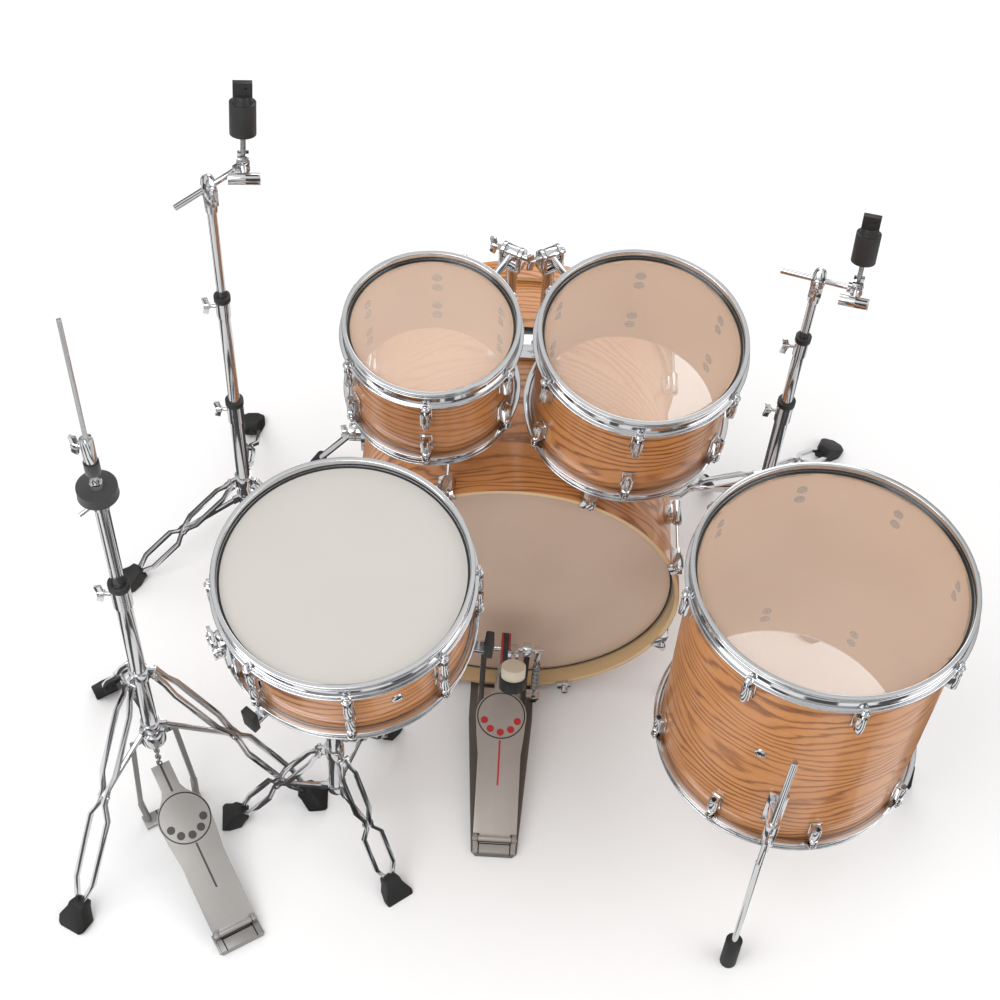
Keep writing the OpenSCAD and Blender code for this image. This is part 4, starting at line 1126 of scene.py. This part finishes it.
def build_wires():
    """Nineteen coiled wires between two end plates, under the snare drum."""
    wire = COILS.run({
        "Turns": 64.0, "Height": WIRE_LENGTH, "Radius": 0.0008, "Wire radius": 0.0003, "Steps": 6,
        "Material": chromed(),
    })
    low = -SNARE.depth - 2 * FILM - 0.0014
    under = SNARE.matrix @ Matrix.Rotation(math.radians(STRAINER_ANGLE), 4, "Z")
    rows = [k * WIRE_SPACING for k in range(-9, 10)]
    parts = [(wire, under @ seat((-WIRE_LENGTH / 2, row, low), ("Y", 90))) for row in rows]
    shape = bmesh.new()
    for side in (-0.154, 0.154):
        block(shape, (0.012, 0.072, 0.0024), (side, 0, low), 0.0008, under)
    parts.append((to_mesh("wire_ends", shape), Matrix.Identity(4)))
    made = mesh_object("snare_wire_set", join("snare_wire_set", parts), "snare_drum", "chrome", chromed())
    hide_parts("snare_wires")


def chain_steel():
    return finish_of("chain_steel", chrome, 0.45, 0.22)


def near_axis(p, x, y, radius, low, high):
    return math.hypot(p.x - x, p.y - y) < radius and low < p.z < high


def chain(name, body, low, high):
    """Chain of welded links on a straight path."""
    shape = bmesh.new()
    ring = []
    for k in range(20):
        a = 2 * math.pi * k / 20
        x, z = 0.0040 * math.cos(a), 0.0040 * math.sin(a) + (0.0025 if math.sin(a) > 0 else -0.0025)
        side = Vector((math.cos(a), 0, math.sin(a)))
        turns = [2 * math.pi * j / 6 for j in range(6)]
        around = [side * math.cos(b) + Vector((0, 1, 0)) * math.sin(b) for b in turns]
        ring.append([shape.verts.new(Vector((x, 0, z)) + step * 0.0015) for step in around])
    for k in range(20):
        for j in range(6):
            n, m = (k + 1) % 20, (j + 1) % 6
            shape.faces.new((ring[k][j], ring[n][j], ring[n][m], ring[k][m]))
    link = helper_object("link", shape)
    path = path_object("chain_path", (low, high))
    count = bpy.context.scene.kit_sizes.link_count
    spacing = (Vector(high) - Vector(low)).length / count
    steel = chain_steel()
    mesh = LINKS.run({
        "Piece": link, "Path": path, "Spacing": spacing, "Twist": math.pi / 2, "Material": steel,
    })
    remove(link, path)
    smooth(mesh)
    return mesh_object(name, mesh, body, "chrome", steel)


def build_bass_pedal():
    """Base, frame with its coiled spring, footboard, cam and beater of the bass pedal."""
    base_tone = finish_of("base_plate", cast_plate, (0.15, 0.14, 0.125), 0.42)
    silver = finish_of("bass_heel", heel_plate, BASS_BOARD, (0.44, 0.42, 0.40))
    base = softened("pedal_base", "kit", "plate", base_tone, silver, bevel=0.0014)
    paint(base, 1, lambda p: p.z > 0.0053)
    board = finish_of(
        "bass_board", footboard, BASS_BOARD, 0.2228, (0.47, 0.42, 0.385), (0.50, 0.02, 0.025),
        0.042, (0.031, 0.0066), 0.0045,
    )
    red = finish_of("red_strap", enamel, (0.45, 0.015, 0.015))
    made = softened("pedal_footboard", "bass_footboard", "board", board, red, nylon(), bevel=0.0010)
    paint(made, 2, lambda p: p.y > -0.0060 and p.z > 0.0905)
    frame_piece = softened(
        "pedal_frame", "kit", "chrome", chromed(), nylon(),
        away=lambda p: near_axis(p, SPRING_X, AXLE.y, 0.0078, 0.0598, 0.1390),
    )
    paint(frame_piece, 1, lambda p: near_axis(p, SPRING_X, AXLE.y, 0.0082, 0.0210, 0.0312))
    steel = chain_steel()
    coil = COILS.run({
        "Turns": 22.0, "Height": 0.076, "Radius": 0.0062, "Wire radius": 0.0011, "Steps": 14,
        "Material": steel,
    })
    shape = bmesh.new()
    pole(shape, (0, 0, -0.030), (0, 0, 0.006), 0.0014, 10)
    pole(shape, (0, 0, 0.070), (0, 0, 0.100), 0.0014, 10)
    solid_lathe(shape, [(0.0022, 0.070), (0.0055, 0.073), (0.0055, 0.0755), (0.0022, 0.078)], 20)
    foot = seat((SPRING_X, AXLE.y, 0.061))
    parts = [(coil, foot), (to_mesh("hooks", shape), foot)]
    mesh_object("pedal_spring", join("pedal_spring", parts), "kit", "chrome", steel)
    beater = softened("pedal_beater", "beater", "chrome", chromed(), finish_of("cam", cam_finish))
    paint(beater, 1, is_cam)
    cream = finish_of("beater_face", felt, (0.66, 0.59, 0.44), (0.80, 0.74, 0.60))
    head = softened("beater_head", "beater", "felt", nylon(), cream, bevel=0.0030)
    back = BEATER.inverted()
    paint(head, 1, lambda p: (back @ p).z > 0.0018)


def is_cam(p):
    radial = math.hypot(p.y - AXLE.y, p.z - AXLE.z)
    on_end = abs(abs(p.x) - 0.008) < 0.0009
    return abs(p.x) < 0.0086 and radial < 0.0290 and (on_end or radial > 0.0130)


def build_hihat():
    """Base, footboard, chain, seat and clutch of the hi-hat stand."""
    x, y = HIHAT_POLE
    plate = finish_of("hihat_heel", heel_plate, HIHAT_BOARD, (0.36, 0.35, 0.34))
    softened("hihat_base", "kit", "plate", plate, bevel=0.0014)
    board = finish_of(
        "hihat_board", footboard, HIHAT_BOARD, 0.201, (0.40, 0.385, 0.37), (0.055, 0.052, 0.050),
        0.0435, (0.031, 0.0070), 0.0020,
    )
    softened("hihat_footboard", "hihat_board", "board", board, bevel=0.0010)
    softened(
        "hihat_rod", "pull_rod", "chrome", chromed(),
        away=lambda p: 0.0040 < math.hypot(p.x - x, p.y - y) < 0.0200 and 0.1290 < p.z < 0.2035,
    )
    chain("hihat_chain", "pull_rod", (x, y, 0.131), (x, y, 0.203))
    seat_felt = finish_of("dark_felt", felt, (0.012, 0.012, 0.012), (0.035, 0.035, 0.035))
    tube = softened("hihat_tube", "hihat_pole", "chrome", chromed(), seat_felt)
    paint(tube, 1, lambda p: 0.8719 < p.z < 0.8903 and math.hypot(p.x - x, p.y - y) < 0.0287)
    clutch = softened("hihat_clutch", "pull_rod", "chrome", chromed(), seat_felt)
    paint(clutch, 1, lambda p: p.z < 0.9422)


def build_tilters():
    """Cymbal tilters: sleeve and wing nut in black, threaded rod and fluted handle."""
    for side, matrix in (("left", LEFT_TIP), ("right", RIGHT_TIP)):
        thread = finish_of(side + "_thread", threaded, matrix)
        grip = finish_of(side + "_grip", grip_chrome, matrix)
        sleeve = finish_of("sleeve", rubber, 0.016, 0.38, 700.0)
        looks = (chromed(), sleeve, nylon(), thread, grip)
        made = softened(side + "_tilter", side + "_tip", "chrome", *looks, bevel=0.0010)
        back = matrix.inverted()
        for polygon in made.data.polygons:
            p = back @ polygon.center
            radial = math.hypot(p.x, p.y)
            if p.z > 0.1079:
                polygon.material_index = 2
            elif p.z > 0.0548 and radial > 0.0045:
                polygon.material_index = 1
            elif p.z > 0.0205:
                polygon.material_index = 3
            elif p.y < -0.0330:
                polygon.material_index = 4


# ---------- settings and operators ----------


class KitColours(bpy.types.PropertyGroup):
    veneer_light: FloatVectorProperty(
        name="Veneer light",
        description="Wood between the grain lines",
        default=(0.62, 0.27, 0.085),
        subtype="COLOR",
    )
    veneer_mid: FloatVectorProperty(
        name="Veneer middle",
        description="Wood beside the grain lines",
        default=(0.46, 0.175, 0.048),
        subtype="COLOR",
    )
    veneer_dark: FloatVectorProperty(
        name="Veneer dark", description="The grain lines", default=(0.16, 0.048, 0.012), subtype="COLOR"
    )


class KitSizes(bpy.types.PropertyGroup):
    floor_span: FloatProperty(
        name="Floor span", description="Half the width of the floor sheet", default=40.0, unit="LENGTH"
    )
    lens: FloatProperty(name="Lens", description="Focal length in millimetres", default=61.86)
    link_count: IntProperty(name="Chain links", description="Links in the hi-hat's chain", default=7)


class StageOperator(bpy.types.Operator):
    """Pale floor, soft lights and the camera."""

    bl_idname = "kit.stage"
    bl_label = "Stage"

    def execute(self, context):
        build_floor()
        build_lights()
        build_camera(context.scene.kit_sizes.lens)
        return {"FINISHED"}


def build_floor():
    span = bpy.context.scene.kit_sizes.floor_span
    shape = bmesh.new()
    bmesh.ops.create_grid(shape, x_segments=8, y_segments=8, size=span)
    mesh = bpy.data.meshes.new("studio_floor")
    shape.to_mesh(mesh)
    shape.free()
    mesh.materials.append(studio_floor("studio_floor"))
    floor = bpy.data.objects.new("studio_floor", mesh)
    floor.location.z = CAD_BOX[0][2] - 0.0005
    bpy.context.scene.collection.objects.link(floor)


def build_lights():
    world = bpy.data.worlds.new("studio")
    bpy.context.scene.world = world
    world.use_nodes = True
    w = Nodes(world.node_tree)
    x, y, z = w.split(w.node("ShaderNodeTexCoord", out="Generated"))
    tones = [
        (0.0, 0.5), (0.03, 0.05), (0.16, 0.10), (0.26, 0.9),
        (0.52, 1.0), (0.62, 0.2), (0.78, 0.75), (1.0, 1.0),
    ]
    room = w.ramp(z, [(spot, (tone, tone, tone)) for spot, tone in tones])
    bands = ((y.maths("ARCTAN2", x) * 5.0).maths("SINE") > 0.45) * (z < 0.6)
    mirror = w.blend(bands * 0.86, room, (0.02, 0.02, 0.022))
    glossy = w.node("ShaderNodeLightPath", out="Is Glossy Ray")
    back = world.node_tree.nodes["Background"]
    world.node_tree.links.new(w.blend(glossy, (0.95, 0.95, 0.95), mirror).socket, back.inputs[0])
    back.inputs[1].default_value = 0.90
    bpy.context.scene.view_settings.view_transform = "Standard"
    add_light("key", (-1.6, -1.4, 3.4), 62.0, 2.4)
    add_light("fill", (2.6, -0.8, 2.6), 24.0, 2.0)
    add_light("rim", (0.4, 3.2, 2.8), 26.0, 2.2)


def add_light(name, place, power, size):
    lamp = bpy.data.lights.new(name, "AREA")
    lamp.energy = power
    lamp.size = size
    made = bpy.data.objects.new(name, lamp)
    made.location = place
    aim = Vector((0.0, 0.0, 0.4)) - Vector(place)
    made.rotation_euler = aim.to_track_quat("-Z", "Y").to_euler()
    bpy.context.scene.collection.objects.link(made)


def build_camera(lens):
    camera = bpy.data.cameras.new("camera")
    camera.lens = lens
    camera.sensor_width = 36.0
    made = bpy.data.objects.new("camera", camera)
    right = Vector((0.99813, 0.04332, 0.04314))
    forward = Vector((0.0072, 0.6172, -0.7868)).normalized()
    right = (right - forward * right.dot(forward)).normalized()
    up = right.cross(forward)
    turn = Matrix((right, up, -forward)).transposed().to_4x4()
    made.matrix_world = Matrix.Translation((-0.0478, -1.7030, 2.7367)) @ turn
    bpy.context.scene.collection.objects.link(made)
    bpy.context.scene.camera = made


class ShellOperator(bpy.types.Operator):
    """Veneer on the five shells and the bass drum's wooden hoops."""

    bl_idname = "kit.shells"
    bl_label = "Shells"

    def execute(self, context):
        for drum in DRUMS:
            dress(drum.name + "_shell", finish_of(drum.name + "_veneer", veneer, drum))
        dress("bass_hoops", finish_of("hoop_wood", hoop_wood, BASS))
        build_vent(FLOOR_TOM, -115, -FLOOR_TOM.depth * 0.45)
        build_vent(SNARE, -61.5, -SNARE.depth / 2)
        return {"FINISHED"}


class HeadOperator(bpy.types.Operator):
    """Clear films on four drums and coated ones on the snare."""

    bl_idname = "kit.heads"
    bl_label = "Heads"

    def execute(self, context):
        for drum in DRUMS:
            build_film_finish(drum)
        return {"FINISHED"}


class HoopOperator(bpy.types.Operator):
    """Triple-flanged steel hoops."""

    bl_idname = "kit.hoops"
    bl_label = "Hoops"

    def execute(self, context):
        for drum in DRUMS[1:]:
            build_hoops(drum)
        return {"FINISHED"}


class LugOperator(bpy.types.Operator):
    """Lugs with their tension rods, and the washers inside the shells."""

    bl_idname = "kit.lugs"
    bl_label = "Lugs"

    def execute(self, context):
        for drum in DRUMS[1:]:
            build_lugs(drum)
        for drum in (SMALL_TOM, LARGE_TOM, FLOOR_TOM):
            ends = (-0.035, -0.059, -drum.depth + 0.035, -drum.depth + 0.059)
            build_washers(drum, ends)
        build_washers(BASS, (-0.072, -0.100, -BASS.depth + 0.072, -BASS.depth + 0.100))
        return {"FINISHED"}


class FittingOperator(bpy.types.Operator):
    """Chromed stands, holders and clamps with softened edges."""

    bl_idname = "kit.fittings"
    bl_label = "Fittings"

    def execute(self, context):
        for body, names in CHROME_NODES.items():
            for node in names:
                softened(node, body, "chrome", chromed())
        build_tripods()
        build_feet()
        build_wires()
        return {"FINISHED"}


class PedalOperator(bpy.types.Operator):
    """The bass drum's pedal."""

    bl_idname = "kit.pedal"
    bl_label = "Bass pedal"

    def execute(self, context):
        build_bass_pedal()
        return {"FINISHED"}


class HihatOperator(bpy.types.Operator):
    """The hi-hat stand's board, chain, seat and clutch."""

    bl_idname = "kit.hihat"
    bl_label = "Hi-hat stand"

    def execute(self, context):
        build_hihat()
        return {"FINISHED"}


class TilterOperator(bpy.types.Operator):
    """The cymbal stands' tilters."""

    bl_idname = "kit.tilters"
    bl_label = "Cymbal tilters"

    def execute(self, context):
        build_tilters()
        return {"FINISHED"}


CLASSES = (
    KitColours,
    KitSizes,
    StageOperator,
    ShellOperator,
    HeadOperator,
    HoopOperator,
    LugOperator,
    FittingOperator,
    PedalOperator,
    HihatOperator,
    TilterOperator,
)


class KitPanel(bpy.types.Panel):
    bl_idname = "VIEW3D_PT_drum_kit"
    bl_label = "Drum kit"
    bl_space_type = "VIEW_3D"
    bl_region_type = "UI"
    bl_category = "Drum kit"

    def draw(self, context):
        column = self.layout.column()
        for settings in (context.scene.kit_colours, context.scene.kit_sizes):
            for name in settings.__annotations__:
                column.prop(settings, name)
        for made in CLASSES:
            if issubclass(made, bpy.types.Operator):
                column.operator(made.bl_idname)


RINGS = None
LINKS = None
COILS = None


def register():
    for made in (*CLASSES, KitPanel):
        bpy.utils.register_class(made)
    bpy.types.Scene.kit_colours = PointerProperty(type=KitColours)
    bpy.types.Scene.kit_sizes = PointerProperty(type=KitSizes)


def unregister():
    del bpy.types.Scene.kit_sizes
    del bpy.types.Scene.kit_colours
    for made in reversed((*CLASSES, KitPanel)):
        bpy.utils.unregister_class(made)


def main():
    global RINGS, LINKS, COILS
    register()
    RINGS, LINKS, COILS = ring_tree(), path_tree(), coil_tree()
    bpy.ops.kit.stage()
    bpy.ops.kit.shells()
    bpy.ops.kit.heads()
    bpy.ops.kit.hoops()
    bpy.ops.kit.lugs()
    bpy.ops.kit.fittings()
    bpy.ops.kit.pedal()
    bpy.ops.kit.hihat()
    bpy.ops.kit.tilters()


if __name__ == "__main__":
    main()
